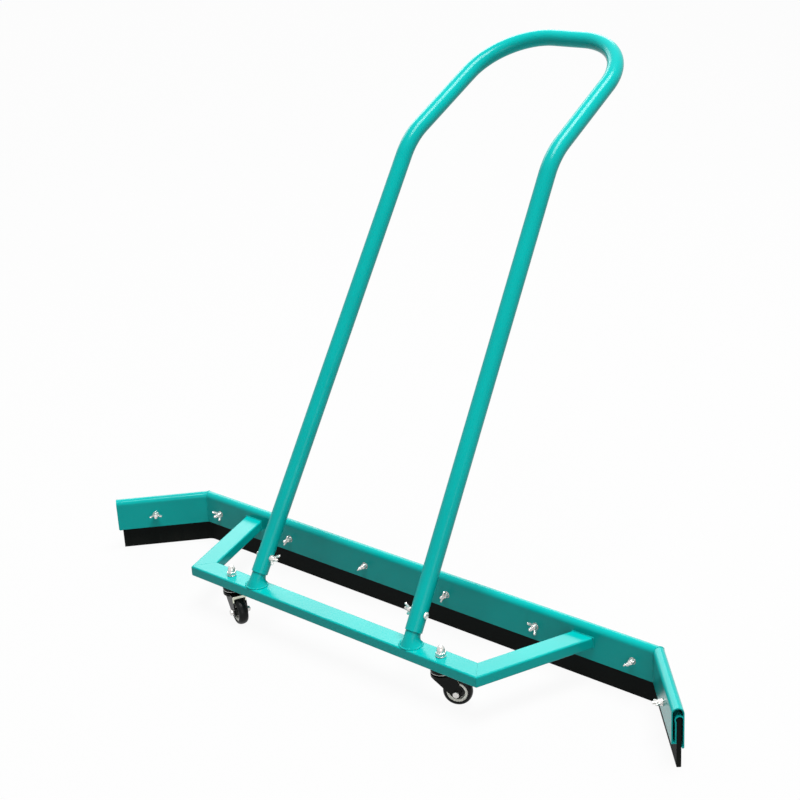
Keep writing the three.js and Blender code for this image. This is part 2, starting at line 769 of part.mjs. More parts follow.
/** A pressed fork: a round cup with the lower race on it, a lipped roof over the wheel and cheeks. */
function casterFork() {
  const roofPlan = (from) => {
    const plan = new THREE.Shape();
    plan.moveTo(from, -cheekOutside);
    plan.lineTo(forkEnd, -cheekOutside);
    plan.lineTo(forkEnd, cheekOutside);
    plan.lineTo(from, cheekOutside);
    plan.closePath();
    return plan;
  };
  const crownBottom = crownTop - forkPlate;
  const cheek = (near) => plate(cheekOutline(), X, Z, near, near + forkPlate, cornerArcSides * 2);
  const pieces = [
    upright(pin(forkCrownRadius, crownBottom, crownTop, wheelSides)),
    upright(ring(forkCrownRadius - forkPlate, forkCrownRadius, crownTop - forkSkirt, crownTop, wheelSides)),
    upright(pin(lowerRaceRadius, crownBottom, lowerRaceTop, wheelSides)),
    plate(roofPlan(0), X, Y, crownBottom, crownTop, cornerArcSides),
    plate(roofPlan(forkEnd - forkPlate), X, Y, crownTop - forkLip, crownTop, cornerArcSides),
    cheek(forkInsideWidth / 2),
    cheek(-cheekOutside),
  ];
  const tools = [
    upright(pin(kingpinRadius + holeGap, crownBottom - overrun, lowerRaceTop + overrun)),
    onAxle(pin(axleRadius + holeGap, -cheekOutside - overrun, cheekOutside + overrun)),
  ];
  return shaped(pieces, tools);
}

/** The axle bolt runs along Y, with its head on the -Y side. */
function axleBolt() {
  const seat = -cheekOutside - seatGap;
  const end = cheekOutside + seatGap + axleNutHeight + axleProtrusion;
  const head = pin(axleHeadFlats / Math.sqrt(3), seat - axleHeadHeight, seat, hexSides);
  return onAxle(shaped([head, pin(axleRadius, seat - axleHeadHeight / 2, end)], []));
}

function axleNut() {
  const seat = cheekOutside + seatGap;
  const hex = pin(axleHeadFlats / Math.sqrt(3), seat, seat + axleNutHeight, hexSides);
  return onAxle(shaped([hex], [pin(axleRadius + holeGap, seat - overrun, seat + axleNutHeight + overrun)]));
}

function axleSleeve() {
  const half = forkInsideWidth / 2 - seatGap;
  return onAxle(ring(axleRadius + holeGap, sleeveRadius, -half, half));
}

function wheelHub() {
  const bore = sleeveRadius + holeGap;
  const boss = forkInsideWidth / 2 - hubSideGap;
  const rim = hubRimWidth / 2;
  const web = hubWebThickness / 2;
  const rimInside = rimRadius - hubRimThickness;
  const side = [[bore, boss], [hubBossRadius, boss], [hubBossRadius, web], [rimInside, web], [rimInside, rim],
    [rimRadius, rim]];
  const otherSide = side.map(([r, h]) => [r, -h]).reverse();
  return onAxle(turned([...side, ...otherSide, side[0]], wheelSides));
}

function tyre() {
  const inside = rimRadius + seatGap;
  const crown = Array.from({ length: crownSides + 1 }, (_, i) => {
    const angle = (i / crownSides - 1 / 2) * Math.PI;
    return [wheelRadius - tyreCrown * (1 - Math.cos(angle)), (tyreWidth / 2) * Math.sin(angle)];
  });
  return onAxle(turned([[inside, -tyreWidth / 2], ...crown, [inside, tyreWidth / 2], [inside, -tyreWidth / 2]],
    wheelSides));
}

function caster(place, side, heading) {
  const pieces = [
    ["stem", casterStem(), zinc],
    ["acorn_nut", acornNut(), zinc],
    ["top_race", topRace(), zinc],
    ["ball_ring", ballRing(), zinc],
    ["fork", casterFork(), blackSteel],
    ["axle_bolt", axleBolt(), zinc],
    ["axle_nut", axleNut(), zinc],
    ["axle_sleeve", axleSleeve(), zinc],
    ["wheel_hub", wheelHub(), creamPlastic],
    ["tyre", tyre(), rubber],
  ];
  return placed(pieces.map(([name, solid, material]) => part(`${place}_${name}`, solid, material)),
    side * casterHalfSpacing, crossbarMiddle, 0, heading);
}

// The whole squeegee

const squeegee = placed([
  mainHolder(),
  onWing(-1, [wingHolder("left_wing_holder", -1)]),
  onWing(1, [wingHolder("right_wing_holder", 1)]),
  rubberBlade(),
  frontCrossbar(),
  sideArm("left_arm", -1),
  sideArm("right_arm", 1),
  legSocket("left_socket", -1),
  legSocket("right_socket", 1),
  pushHandle(),
  ...bladeFasteners(),
  legFasteners(-1, 1),
  legFasteners(1, 2),
  caster("left", -1, casterHeadings[0]),
  caster("right", 1, casterHeadings[1]),
], 0, -rubberMiddle, 0, 0);

export default new THREE.Group().add(squeegee);
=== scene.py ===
import logging
import math
import random
from dataclasses import dataclass
from enum import Enum
from typing import Callable, Dict, List, Optional, Sequence, Tuple, Union

import bmesh
import bpy
from mathutils import Matrix, Quaternion, Vector


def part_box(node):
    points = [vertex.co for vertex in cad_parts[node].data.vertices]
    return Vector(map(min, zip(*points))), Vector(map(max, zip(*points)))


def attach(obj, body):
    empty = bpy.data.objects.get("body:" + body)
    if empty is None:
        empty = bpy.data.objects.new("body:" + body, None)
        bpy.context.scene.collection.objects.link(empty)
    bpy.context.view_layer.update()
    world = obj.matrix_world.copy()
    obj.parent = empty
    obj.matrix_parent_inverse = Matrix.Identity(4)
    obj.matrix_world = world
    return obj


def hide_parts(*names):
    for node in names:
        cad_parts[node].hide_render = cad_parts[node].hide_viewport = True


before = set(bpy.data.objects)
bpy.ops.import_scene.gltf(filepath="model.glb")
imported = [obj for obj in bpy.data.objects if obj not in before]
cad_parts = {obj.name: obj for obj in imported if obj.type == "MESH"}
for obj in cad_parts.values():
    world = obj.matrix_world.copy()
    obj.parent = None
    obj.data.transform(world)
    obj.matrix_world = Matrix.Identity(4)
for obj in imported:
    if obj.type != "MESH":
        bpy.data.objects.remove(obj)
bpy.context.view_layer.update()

MM = 0.001
MERGE_DISTANCE = 0.002 * MM
CUT_DISTANCE = 0.001 * MM
FLAT_ANGLE = math.radians(0.5)
NOISE_MEAN = 0.5
X_AXIS, Y_AXIS, Z_AXIS = Vector((1, 0, 0)), Vector((0, 1, 0)), Vector((0, 0, 1))
ROOT = "squeegee_frame"
WHITE = (1.0, 1.0, 1.0)
LOG = logging.getLogger("court_squeegee")

Pair = Tuple[float, float]
Triple = Tuple[float, float, float]
Number = Union[float, "Value"]
Profile = Sequence[Pair]
Picker = Callable[[bmesh.types.BMFace], int]


class Slot(Enum):
    """The record's material slots."""

    PAINT = "turquoise_paint"
    RUBBER = "blade_rubber"
    ZINC = "zinc_steel"
    BLACK = "black_steel"
    TYRE = "tyre_rubber"
    HUB = "hub_plastic"


class Side(Enum):
    """The left or right half of the squeegee, with its sign along X."""

    LEFT = -1
    RIGHT = 1

    @property
    def word(self) -> str:
        """The side's name as node names use it."""
        return self.name.lower()


# Where each wheel trails, in degrees from +X.
CASTER_HEADINGS = {Side.LEFT: -23, Side.RIGHT: 27}


# Shader building

class Value:
    """A number in a node tree. Arithmetic on it adds Math nodes."""

    def __init__(self, nodes: "Nodes", socket: bpy.types.NodeSocket) -> None:
        """Wraps an output socket of a tree."""
        self.nodes = nodes
        self.socket = socket

    def math(self, operation: str, other: Number, swapped: bool = False) -> "Value":
        """Adds one Math node.

        Args:
            operation: The node's operation.
            other: The other operand.
            swapped: Whether the other operand comes first.

        Returns:
            The node's result.
        """
        operands = (other, self) if swapped else (self, other)
        node = self.nodes.node("ShaderNodeMath", {"operation": operation}, dict(enumerate(operands)))
        return Value(self.nodes, node.outputs[0])

    def __add__(self, other: Number) -> "Value":
        """Adds."""
        return self.math("ADD", other)

    def __sub__(self, other: Number) -> "Value":
        """Subtracts."""
        return self.math("SUBTRACT", other)

    def __rsub__(self, other: Number) -> "Value":
        """Subtracts from a plain number."""
        return self.math("SUBTRACT", other, swapped=True)

    def __mul__(self, other: Number) -> "Value":
        """Multiplies."""
        return self.math("MULTIPLY", other)

    __radd__ = __add__
    __rmul__ = __mul__

    def ramp(self, low: float, high: float) -> "Value":
        """Runs smoothly from 0 at low to 1 at high.

        Args:
            low: The value that becomes 0.
            high: The value that becomes 1.

        Returns:
            The ramp's value, held between 0 and 1.
        """
        node = self.nodes.node(
            "ShaderNodeMapRange",
            {"interpolation_type": "SMOOTHSTEP"},
            {"Value": self, "From Min": low, "From Max": high},
        )
        return Value(self.nodes, node.outputs["Result"])

    def swing(self, amount: float) -> "Value":
        """Turns a noise into a swing about zero, of an amount from its least to its greatest."""
        return (self - NOISE_MEAN) * amount


class Nodes:
    """A node tree that is built from nothing."""

    def __init__(self, tree: bpy.types.NodeTree) -> None:
        """Empties the tree."""
        self.tree = tree
        self.tree.nodes.clear()

    def node(self, kind: str, settings: Dict[str, object],
             sockets: Dict[Union[str, int], object]) -> bpy.types.Node:
        """Adds a node.

        Args:
            kind: The node's type name.
            settings: Its properties.
            sockets: Its inputs, each a constant, a Value or an output socket.

        Returns:
            The new node.
        """
        node = self.tree.nodes.new(kind)
        for key, value in settings.items():
            setattr(node, key, value)
        for key, value in sockets.items():
            self.feed(node.inputs[key], value)
        return node

    def feed(self, target: bpy.types.NodeSocket, value: object) -> None:
        """Links or sets one input socket. A colour of three numbers becomes opaque.

        Args:
            target: The input.
            value: A constant, a Value or an output socket.
        """
        source = value.socket if isinstance(value, Value) else value
        if isinstance(source, bpy.types.NodeSocket):
            self.tree.links.new(source, target)
        elif isinstance(target.default_value, float):
            target.default_value = source
        elif len(target.default_value) == len(source) + 1:
            target.default_value = (*source, 1.0)
        else:
            target.default_value = source

    def showing(self) -> Value:
        """1 for the rays that show the surroundings: the camera's own, mirrored and refracted ones.

        Returns:
            The share, 0 or 1.
        """
        path = self.node("ShaderNodeLightPath", {}, {})
        camera, mirrored, through = (
            Value(self, path.outputs[f"Is {kind} Ray"]) for kind in ("Camera", "Glossy", "Transmission"))
        return camera + mirrored + through


class Shader(Nodes):
    """A material's node tree around one Principled shader."""

    def __init__(self, name: str) -> None:
        """Makes a material of one Principled shader that nothing feeds yet.

        Args:
            name: The material's name.
        """
        self.material = bpy.data.materials.new(name)
        self.material.use_nodes = True
        super().__init__(self.material.node_tree)
        self.principled = self.node("ShaderNodeBsdfPrincipled", {}, {})
        self.output = self.node("ShaderNodeOutputMaterial", {}, {"Surface": self.principled.outputs[0]})
        self.coordinates = self.node("ShaderNodeTexCoord", {}, {}).outputs["Object"]

    def surface(self, **inputs: object) -> None:
        """Feeds inputs of the Principled shader, with underscores for spaces in their names."""
        for name, value in inputs.items():
            self.feed(self.principled.inputs[name.replace("_", " ")], value)

    def noise(self, scale: float, detail: float = 2.0, roughness: float = 0.5,
              stretch: Optional[Triple] = None) -> Value:
        """A noise over object coordinates.

        Args:
            scale: Cells in a metre.
            detail: Octaves.
            roughness: Weight of the finer octaves.
            stretch: Scale of each axis, for streaks.

        Returns:
            The noise, about 0.5 on average.
        """
        where = self.coordinates
        if stretch:
            where = self.node("ShaderNodeMapping", {}, {"Vector": where, "Scale": stretch}).outputs[0]
        sockets = {"Vector": where, "Scale": scale, "Detail": detail, "Roughness": roughness}
        return Value(self, self.node("ShaderNodeTexNoise", {}, sockets).outputs[0])

    def along(self, axis: str) -> Value:
        """The object coordinate along one axis, in metres."""
        split = self.node("ShaderNodeSeparateXYZ", {}, {0: self.coordinates})
        return Value(self, split.outputs[axis])

    def mix(self, factor: Number, first: Triple, second: Triple) -> bpy.types.NodeSocket:
        """A colour between two colours.

        Args:
            factor: The share of the second colour.
            first: The colour at 0.
            second: The colour at 1.

        Returns:
            The mixed colour's socket.
        """
        settings = {"data_type": "RGBA", "clamp_factor": True}
        # A Mix node has several inputs of one name, so the ones for colours go by number.
        node = self.node("ShaderNodeMix", settings, {0: factor, 6: first, 7: second})
        return node.outputs[2]

    def bump(self, height: Number, distance: float) -> bpy.types.NodeSocket:
        """A normal bumped by a height, whose step from 0 to 1 is given in metres."""
        sockets = {"Height": height, "Distance": distance, "Strength": 1.0}
        return self.node("ShaderNodeBump", {}, sockets).outputs[0]


@dataclass(frozen=True)
class PaintFinish:
    """Glossy powder coat with a faint orange peel."""

    slot: Slot = Slot.PAINT
    tint: Triple = (0.0, 0.315, 0.295)
    shade: Triple = (0.0, 0.285, 0.267)
    tone_band: Pair = (0.3, 0.7)
    cloud_cells: float = 7.0
    speck_cells: float = 400.0
    speck_share: float = 0.1
    roughness: float = 0.19
    cloud_swing: float = 0.06
    speck_swing: float = 0.02
    specular: float = 0.11
    peel_cells: float = 150.0
    peel_height: float = 0.0000015

    def build(self) -> bpy.types.Material:
        """Makes the material.

        Returns:
            The new material.
        """
        shader = Shader(self.slot.value)
        clouds = shader.noise(self.cloud_cells, detail=3.0)
        specks = shader.noise(self.speck_cells)
        peel = shader.noise(self.peel_cells, roughness=0.4)
        tone = clouds * (1 - self.speck_share) + specks * self.speck_share
        shader.surface(
            Base_Color=shader.mix(tone.ramp(*self.tone_band), self.shade, self.tint),
            Roughness=self.roughness + specks.swing(self.speck_swing) + clouds.swing(self.cloud_swing),
            Specular_IOR_Level=self.specular,
            Normal=shader.bump(peel, self.peel_height),
        )
        return shader.material


@dataclass(frozen=True)
class RubberFinish:
    """Near-black sheet rubber with a dusty wiping edge."""

    slot: Slot = Slot.RUBBER
    base: Triple = (0.003, 0.0045, 0.004)
    dust: Triple = (0.014, 0.015, 0.013)
    dust_top: float = 0.03
    dust_least: float = 0.25
    streak_cells: float = 60.0
    streak_stretch: Triple = (1.0, 1.0, 0.15)
    streak_band: Pair = (0.35, 0.75)
    streak_share: float = 0.5
    grain_cells: float = 1400.0
    grain_share: float = 0.3
    roughness: float = 0.62
    dust_roughness: float = 0.25
    specular: float = 0.05
    streak_relief: float = 2.0
    relief: float = 0.00004

    def build(self) -> bpy.types.Material:
        """Makes the material.

        Returns:
            The new material.
        """
        shader = Shader(self.slot.value)
        streaks = shader.noise(self.streak_cells, detail=4.0, roughness=0.6, stretch=self.streak_stretch)
        grain = shader.noise(self.grain_cells)
        low = 1.0 - shader.along("Z").ramp(0.0, self.dust_top)
        marks = streaks.ramp(*self.streak_band) * self.streak_share + grain * self.grain_share
        dusty = marks * (self.dust_least + low * (1 - self.dust_least))
        shader.surface(
            Base_Color=shader.mix(dusty, self.base, self.dust),
            Roughness=self.roughness + dusty * self.dust_roughness,
            Specular_IOR_Level=self.specular,
            Normal=shader.bump(grain + streaks * self.streak_relief, self.relief),
        )
        return shader.material


@dataclass(frozen=True)
class MetalFinish:
    """Bare or plated steel with fine grain and faint stains."""

    slot: Slot = Slot.ZINC
    name: str = "zinc_steel"
    bright: Triple = (0.74, 0.73, 0.71)
    dull: Triple = (0.48, 0.45, 0.42)
    roughness: float = 0.22
    metallic: float = 0.75
    stain_cells: float = 260.0
    stain_band: Pair = (0.4, 0.75)
    stain_swing: float = 0.16
    grain_cells: float = 3200.0
    grain_swing: float = 0.1
    grain_height: float = 0.00001

    def build(self) -> bpy.types.Material:
        """Makes the material.

        Returns:
            The new material.
        """
        shader = Shader(self.name)
        stains = shader.noise(self.stain_cells, detail=3.0, roughness=0.6)
        grain = shader.noise(self.grain_cells)
        shader.surface(
            Base_Color=shader.mix(stains.ramp(*self.stain_band), self.bright, self.dull),
            Metallic=self.metallic,
            Roughness=self.roughness + stains.swing(self.stain_swing) + grain.swing(self.grain_swing),
            Normal=shader.bump(grain, self.grain_height),
        )
        return shader.material


@dataclass(frozen=True)
class PlainFinish:
    """A plastic, a tyre or a black coat: one tone with cloudy wear and a fine grain."""

    slot: Slot
    name: str
    base: Triple
    worn: Triple
    roughness: float
    coat: float = 0.0
    specular: float = 0.3
    cloud_cells: float = 90.0
    cloud_band: Pair = (0.45, 0.8)
    cloud_share: float = 0.6
    cloud_swing: float = 0.15
    grain_cells: float = 1500.0
    grain_band: Pair = (0.6, 0.9)
    grain_height: float = 0.00002

    def build(self) -> bpy.types.Material:
        """Makes the material.

        Returns:
            The new material.
        """
        shader = Shader(self.name)
        clouds = shader.noise(self.cloud_cells, detail=4.0, roughness=0.6)
        grain = shader.noise(self.grain_cells)
        cloudy, scuffed = clouds.ramp(*self.cloud_band), grain.ramp(*self.grain_band)
        wear = cloudy * self.cloud_share + scuffed * (1 - self.cloud_share)
        shader.surface(
            Base_Color=shader.mix(wear, self.base, self.worn),
            Roughness=self.roughness + clouds.swing(self.cloud_swing),
            Specular_IOR_Level=self.specular,
            Coat_Weight=self.coat,
            Normal=shader.bump(grain, self.grain_height),
        )
        return shader.material


class Palette:
    """The squeegee's materials, each made once."""

    def __init__(self) -> None:
        """Makes every material."""
        self.paint = PaintFinish().build()
        self.rubber = RubberFinish().build()
        self.zinc = MetalFinish().build()
        self.black = PlainFinish(Slot.BLACK, "black_steel", (0.002, 0.003, 0.0025), (0.007, 0.008, 0.007),
                                 roughness=0.24, specular=0.12).build()
        self.tyre = PlainFinish(Slot.TYRE, "tyre_rubber", (0.002, 0.003, 0.003), (0.008, 0.009, 0.008),
                                roughness=0.38, specular=0.15).build()
        self.hub = PlainFinish(Slot.HUB, "hub_plastic", (0.95, 0.95, 0.86), (0.88, 0.87, 0.77),
                               roughness=0.35, coat=0.1).build()
        # The hub's web and boss are painted near-black: painted shade for the shadow in the recess behind
        # the fork.
        self.web = PlainFinish(Slot.HUB, "hub_shadow_web", (0.02, 0.022, 0.02), (0.04, 0.04, 0.036),
                               roughness=0.5).build()
        # The fork's lip gets a pale metal tone as a painted highlight, for the light its edge catches.
        self.lip = MetalFinish(Slot.BLACK, "bare_fork_lip", (0.78, 0.80, 0.66), (0.62, 0.64, 0.5),
                               roughness=0.38).build()
        # The race's lower rim gets a pale metal tone as a painted highlight, for the light its edge catches,
        # not for wear.
        self.worn = MetalFinish(Slot.BLACK, "worn_race_edge", (0.62, 0.62, 0.60), (0.36, 0.36, 0.34),
                                roughness=0.3).build()

    def of(self, slot: Slot) -> bpy.types.Material:
        """The main material of a record slot."""
        return {
            Slot.PAINT: self.paint, Slot.RUBBER: self.rubber, Slot.ZINC: self.zinc,
            Slot.BLACK: self.black, Slot.TYRE: self.tyre, Slot.HUB: self.hub,
        }[slot]


# Mesh building

@dataclass(frozen=True)
class Rounding:
    """How edges are rounded: the width in millimetres, and the least angle in degrees."""

    width: float
    segments: int = 2
    over: float = 35.0

    def bevel(self, bm: bmesh.types.BMesh) -> None:
        """Rounds every edge of a mesh over the least angle.

        Args:
            bm: The mesh.
        """
        limit = math.radians(self.over)
        edges = [e for e in bm.edges if len(e.link_faces) == 2 and e.calc_face_angle(0.0) > limit]
        bmesh.ops.bevel(bm, geom=edges, offset=self.width * MM, offset_type="OFFSET", segments=self.segments,
                        profile=0.5, affect="EDGES", clamp_overlap=True, material=-1)


def mark_edges(bm: bmesh.types.BMesh, sharp_degrees: float) -> None:
    """Shades every face smooth and marks the edges over an angle as sharp.

    Args:
        bm: The mesh.
        sharp_degrees: The angle.
    """
    limit = math.radians(sharp_degrees)
    for face in bm.faces:
        face.smooth = True
    for edge in bm.edges:
        edge.smooth = len(edge.link_faces) == 2 and edge.calc_face_angle(0.0) < limit


def merge(bm: bmesh.types.BMesh) -> None:
    """Merges doubles and turns the faces outwards."""
    bmesh.ops.remove_doubles(bm, verts=bm.verts, dist=MERGE_DISTANCE)
    bmesh.ops.recalc_face_normals(bm, faces=bm.faces)


def arc(start: float, end: float, steps: int) -> List[Pair]:
    """The cosines and sines of evenly spaced angles, from start to end."""
    angles = [start + (end - start) * i / steps for i in range(steps + 1)]
    return [(math.cos(angle), math.sin(angle)) for angle in angles]


def turned(profile: Profile, steps: int) -> bmesh.types.BMesh:
    """Spins a profile of (radius, height) points in millimetres round Y, and closes it.

    Args:
        profile: The points, in order.
        steps: The faces in a full turn.

    Returns:
        The turned surface.
    """
    bm = bmesh.new()
    verts = [bm.verts.new((r * MM, h * MM, 0.0)) for r, h in profile]
    edges = [bm.edges.new(pair) for pair in zip(verts, verts[1:])]
    bmesh.ops.spin(bm, geom=verts + edges, cent=(0, 0, 0), axis=Y_AXIS, angle=2 * math.pi,
                   steps=steps, use_merge=True, use_duplicate=False)
    merge(bm)
    return bm


def slab(outline: Sequence[Vector], push: Vector) -> bmesh.types.BMesh:
    """Extrudes the face inside an outline, in metres.

    Args:
        outline: The face's corners, in order.
        push: The slab's thickness as a vector.

    Returns:
        The closed slab.
    """
    bm = bmesh.new()
    face = bm.faces.new([bm.verts.new(point) for point in outline])
    pushed = bmesh.ops.extrude_face_region(bm, geom=[face])["geom"]
    moved = [part for part in pushed if isinstance(part, bmesh.types.BMVert)]
    bmesh.ops.translate(bm, vec=push, verts=moved)
    bmesh.ops.recalc_face_normals(bm, faces=bm.faces)
    return bm


def tube(stations: Sequence[Matrix], sides: int, closed: bool = False) -> bmesh.types.BMesh:
    """Bridges circles that stand at stations.

    Args:
        stations: Places in order, each with the circle's radii as its first two axes.
        sides: The circles' sides.
        closed: Whether the last circle joins the first. Otherwise both ends are capped.

    Returns:
        The closed surface.
    """
    bm = bmesh.new()
    rings: List[List[bmesh.types.BMEdge]] = []
    for place in stations:
        capped = not closed and (place is stations[0] or place is stations[-1])
        made = bmesh.ops.create_circle(bm, cap_ends=capped, segments=sides, radius=1.0, matrix=place)
        rings.append(list(dict.fromkeys(edge for vert in made["verts"] for edge in vert.link_edges)))
        if len(rings) > 1:
            bmesh.ops.bridge_loops(bm, edges=rings[-2] + rings[-1])
    if closed:
        bmesh.ops.bridge_loops(bm, edges=rings[-1] + rings[0])
    bmesh.ops.recalc_face_normals(bm, faces=bm.faces)
    return bm


def append(target: bmesh.types.BMesh, source: bmesh.types.BMesh) -> None:
    """Moves one mesh's surface into another.

    Args:
        target: The mesh that grows.
        source: The mesh that is used up.
    """
    carrier = bpy.data.meshes.new("carrier")
    source.to_mesh(carrier)
    source.free()
    target.from_mesh(carrier)
    bpy.data.meshes.remove(carrier)


def station(at: Vector, across: Vector, up: Vector) -> Matrix:
    """The frame at a place with the given first two axes."""
    return Matrix.Translation(at) @ Matrix((across, up, across.cross(up))).transposed().to_4x4()


def route_stations(points: Sequence[Vector], first_across: Vector) -> List[Matrix]:
    """Stations square to a route, carried along it without twisting.

    Args:
        points: The route.
        first_across: About the first station's first axis.

    Returns:
        One station for each point.
    """
    runs = [(b - a).normalized() for a, b in zip(points, points[1:])]
    tangents = [(runs[max(i - 1, 0)] + runs[min(i, len(runs) - 1)]).normalized() for i in range(len(points))]
    across = (first_across - tangents[0] * first_across.dot(tangents[0])).normalized()
    stations = []
    for i, at in enumerate(points):
        if i:
            across = tangents[i - 1].rotation_difference(tangents[i]) @ across
        stations.append(station(at, across, tangents[i].cross(across)))
    return stations


def divided(points: Sequence[Vector], longest: float) -> List[Vector]:
    """The same route with points added so that no run is longer than a length.

    Args:
        points: The route.
        longest: The greatest length of a run.

    Returns:
        The points of the divided route.
    """
    route = [points[0]]
    for start, end in zip(points, points[1:]):
        count = math.ceil((end - start).length / longest)
        route += [start.lerp(end, i / count) for i in range(1, count + 1)]
    return route


def rounded_corner(before: Vector, corner: Vector, after: Vector, radius: float, steps: int) -> List[Vector]:
    """The points of an arc that rounds the corner between two straight runs.

    Args:
        before: A point on the run that leads to the corner.
        corner: The corner.
        after: A point on the run that leads away from it.
        radius: The arc's radius.
        steps: The runs that make the arc.

    Returns:
        The arc's points, both ends included.
    """
    back, ahead = (before - corner).normalized(), (after - corner).normalized()
    half = back.angle(ahead) / 2
    centre = corner + (back + ahead).normalized() * (radius / math.sin(half))
    spoke = corner + back * (radius / math.tan(half)) - centre
    axis = ahead.cross(back).normalized()
    return [centre + Quaternion(axis, i / steps * (math.pi - 2 * half)) @ spoke for i in range(steps + 1)]


def touch_angle(centre: Vector, radius: float, point: Vector, hand: int) -> float:
    """The angle at which a line from an outside point touches a circle, on one hand or the other."""
    away = point - centre
    return math.atan2(away.y, away.x) + hand * math.acos(radius / away.length)


def add_object(name: str, data: bpy.types.ID) -> bpy.types.Object:
    """Adds an object to the scene.

    Args:
        name: Its name.
        data: Its mesh, lamp or camera.

    Returns:
        The new object.
    """
    obj = bpy.data.objects.new(name, data)
    bpy.context.scene.collection.objects.link(obj)
    return obj


class Workshop:
    """Turns finished meshes into pieces that ride on the CAD bodies."""

    def __init__(self, palette: Palette) -> None:
        """Keeps the palette."""
        self.palette = palette

    def piece(self, name: str, bm: bmesh.types.BMesh, slot: Slot, body: str, replaces: Sequence[str] = (),
              sharp: float = 35.0, materials: Sequence[bpy.types.Material] = ()) -> None:
        """Makes one piece.

        Args:
            name: The piece's name.
            bm: Its mesh, which is used up.
            slot: The record slot of its finish.
            body: The body that it rides on.
            replaces: The CAD nodes that it stands for.
            sharp: The angle over which its edges stay sharp, in degrees.
            materials: Its materials, if not just the slot's own.
        """
        mark_edges(bm, sharp)
        mesh = bpy.data.meshes.new(name)
        bm.to_mesh(mesh)
        bm.free()
        obj = add_object(name, mesh)
        for material in materials or (self.palette.of(slot),):
            mesh.materials.append(material)
        obj.modifiers.new("weighted_normals", "WEIGHTED_NORMAL").keep_sharp = True
        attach(obj, body)
        if replaces:
            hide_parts(*replaces)
        LOG.info("piece %s: %d faces on %s", name, len(mesh.polygons), body)

    def refined(self, node: str, slot: Slot, body: str, edge: Rounding,
                materials: Sequence[bpy.types.Material] = (), picker: Optional[Picker] = None,
                level: Optional[float] = None) -> None:
        """Stands a merged and rounded copy of a CAD node in its place.

        Args:
            node: The CAD node.
            slot: The record slot of its finish.
            body: The body that it rides on.
            edge: How its edges are rounded.
            materials: Its materials, if not just the slot's own.
            picker: Gives a face's material number.
            level: A height at which the faces are parted first, so that the picker can tell them apart.
        """
        bm = bmesh.new()
        bm.from_mesh(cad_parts[node].data)
        merge(bm)
        bmesh.ops.dissolve_limit(bm, angle_limit=FLAT_ANGLE, verts=bm.verts, edges=bm.edges)
        edge.bevel(bm)
        if level is not None:
            bmesh.ops.bisect_plane(bm, geom=bm.verts[:] + bm.edges[:] + bm.faces[:], dist=CUT_DISTANCE,
                                   plane_co=Z_AXIS * level, plane_no=Z_AXIS)
        if picker:
            for face in bm.faces:
                face.material_index = picker(face)
        self.piece(f"{node}_dressed", bm, slot, body, [node], edge.over, materials)


# Sub-assemblies

@dataclass
class PushHandle:
    """The bent tube handle, its bolt holes being hidden under the bolts.

    Sizes are in millimetres and repeat the solid's own.
    """

    tube_radius: float = 15.0
    tube_wall: float = 1.6
    foot_half_spacing: float = 184.0
    bend_half_spacing: float = 160.3
    loop_half_spacing: float = 151.7
    leg_length: float = 857.0
    upper_length: float = 310.0
    leg_lean: float = math.radians(32)
    upper_lean: float = math.radians(62)
    foot_forward: float = 3.7
    bend_radius: float = 127.0
    bend_steps: int = 16
    loop_radius: float = 122.0
    loop_steps: int = 32
    rim_rise: float = 24.0
    rim_edge: Rounding = Rounding(0.5, 2, 60.0)
    bolt_rise: float = 55.0
    sides: int = 64
    longest_run: float = 20.0
    sharp: float = 50.0

    def foot(self) -> Vector:
        """The point on the crossbar's top that the legs' feet line up with, in millimetres."""
        low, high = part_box("front_crossbar")
        return Vector((0.0, (low[1] + high[1]) / 2 / MM - self.foot_forward, high[2] / MM))

    def leg_point(self, side: Side, rise: float) -> Vector:
        """A point on a leg's centre line, a distance up from its foot.

        Args:
            side: The half of the squeegee.
            rise: The distance up the leg.

        Returns:
            The point, in millimetres.
        """
        foot = self.foot()
        inwards = (self.foot_half_spacing - self.bend_half_spacing) / self.leg_length
        return Vector((side.value * (self.foot_half_spacing - inwards * rise),
                       foot.y + rise * math.sin(self.leg_lean), foot.z + rise * math.cos(self.leg_lean)))

    def loop_corner(self, side: Side) -> Vector:
        """A corner of the loop before it is rounded.

        Args:
            side: The half of the squeegee.

        Returns:
            The corner, in millimetres.
        """
        bend = self.leg_point(side, self.leg_length)
        ahead, up = math.sin(self.upper_lean), math.cos(self.upper_lean)
        return Vector((side.value * self.loop_half_spacing, bend.y + self.upper_length * ahead,
                       bend.z + self.upper_length * up))

    def route(self) -> List[Vector]:
        """The tube's centre line from rim to rim, in metres, without long runs.

        Returns:
            The route's points.
        """
        rims = [self.leg_point(side, self.rim_rise) for side in Side]
        bends = [self.leg_point(side, self.leg_length) for side in Side]
        tops = [self.loop_corner(side) for side in Side]
        points = [
            rims[0],
            *rounded_corner(rims[0], bends[0], tops[0], self.bend_radius, self.bend_steps),
            *rounded_corner(bends[0], tops[0], tops[1], self.loop_radius, self.loop_steps),
            *rounded_corner(tops[0], tops[1], bends[1], self.loop_radius, self.loop_steps),
            *rounded_corner(tops[1], bends[1], rims[1], self.bend_radius, self.bend_steps),
            rims[1],
        ]
        return [p * MM for p in divided(points, self.longest_run)]

    def build(self, shop: Workshop) -> None:
        """Makes the open-ended tube, its outer surface first and then back along the inner one.

        Args:
            shop: The workshop.
        """
        stations = route_stations(self.route(), X_AXIS)
        outer = [place @ Matrix.Scale(self.tube_radius * MM, 4) for place in stations]
        inner = [place @ Matrix.Scale((self.tube_radius - self.tube_wall) * MM, 4) for place in stations]
        bm = tube(outer + inner[::-1], self.sides, closed=True)
        self.rim_edge.bevel(bm)
        shop.piece("push_handle_tube", bm, Slot.PAINT, ROOT, ["push_handle"], self.sharp)


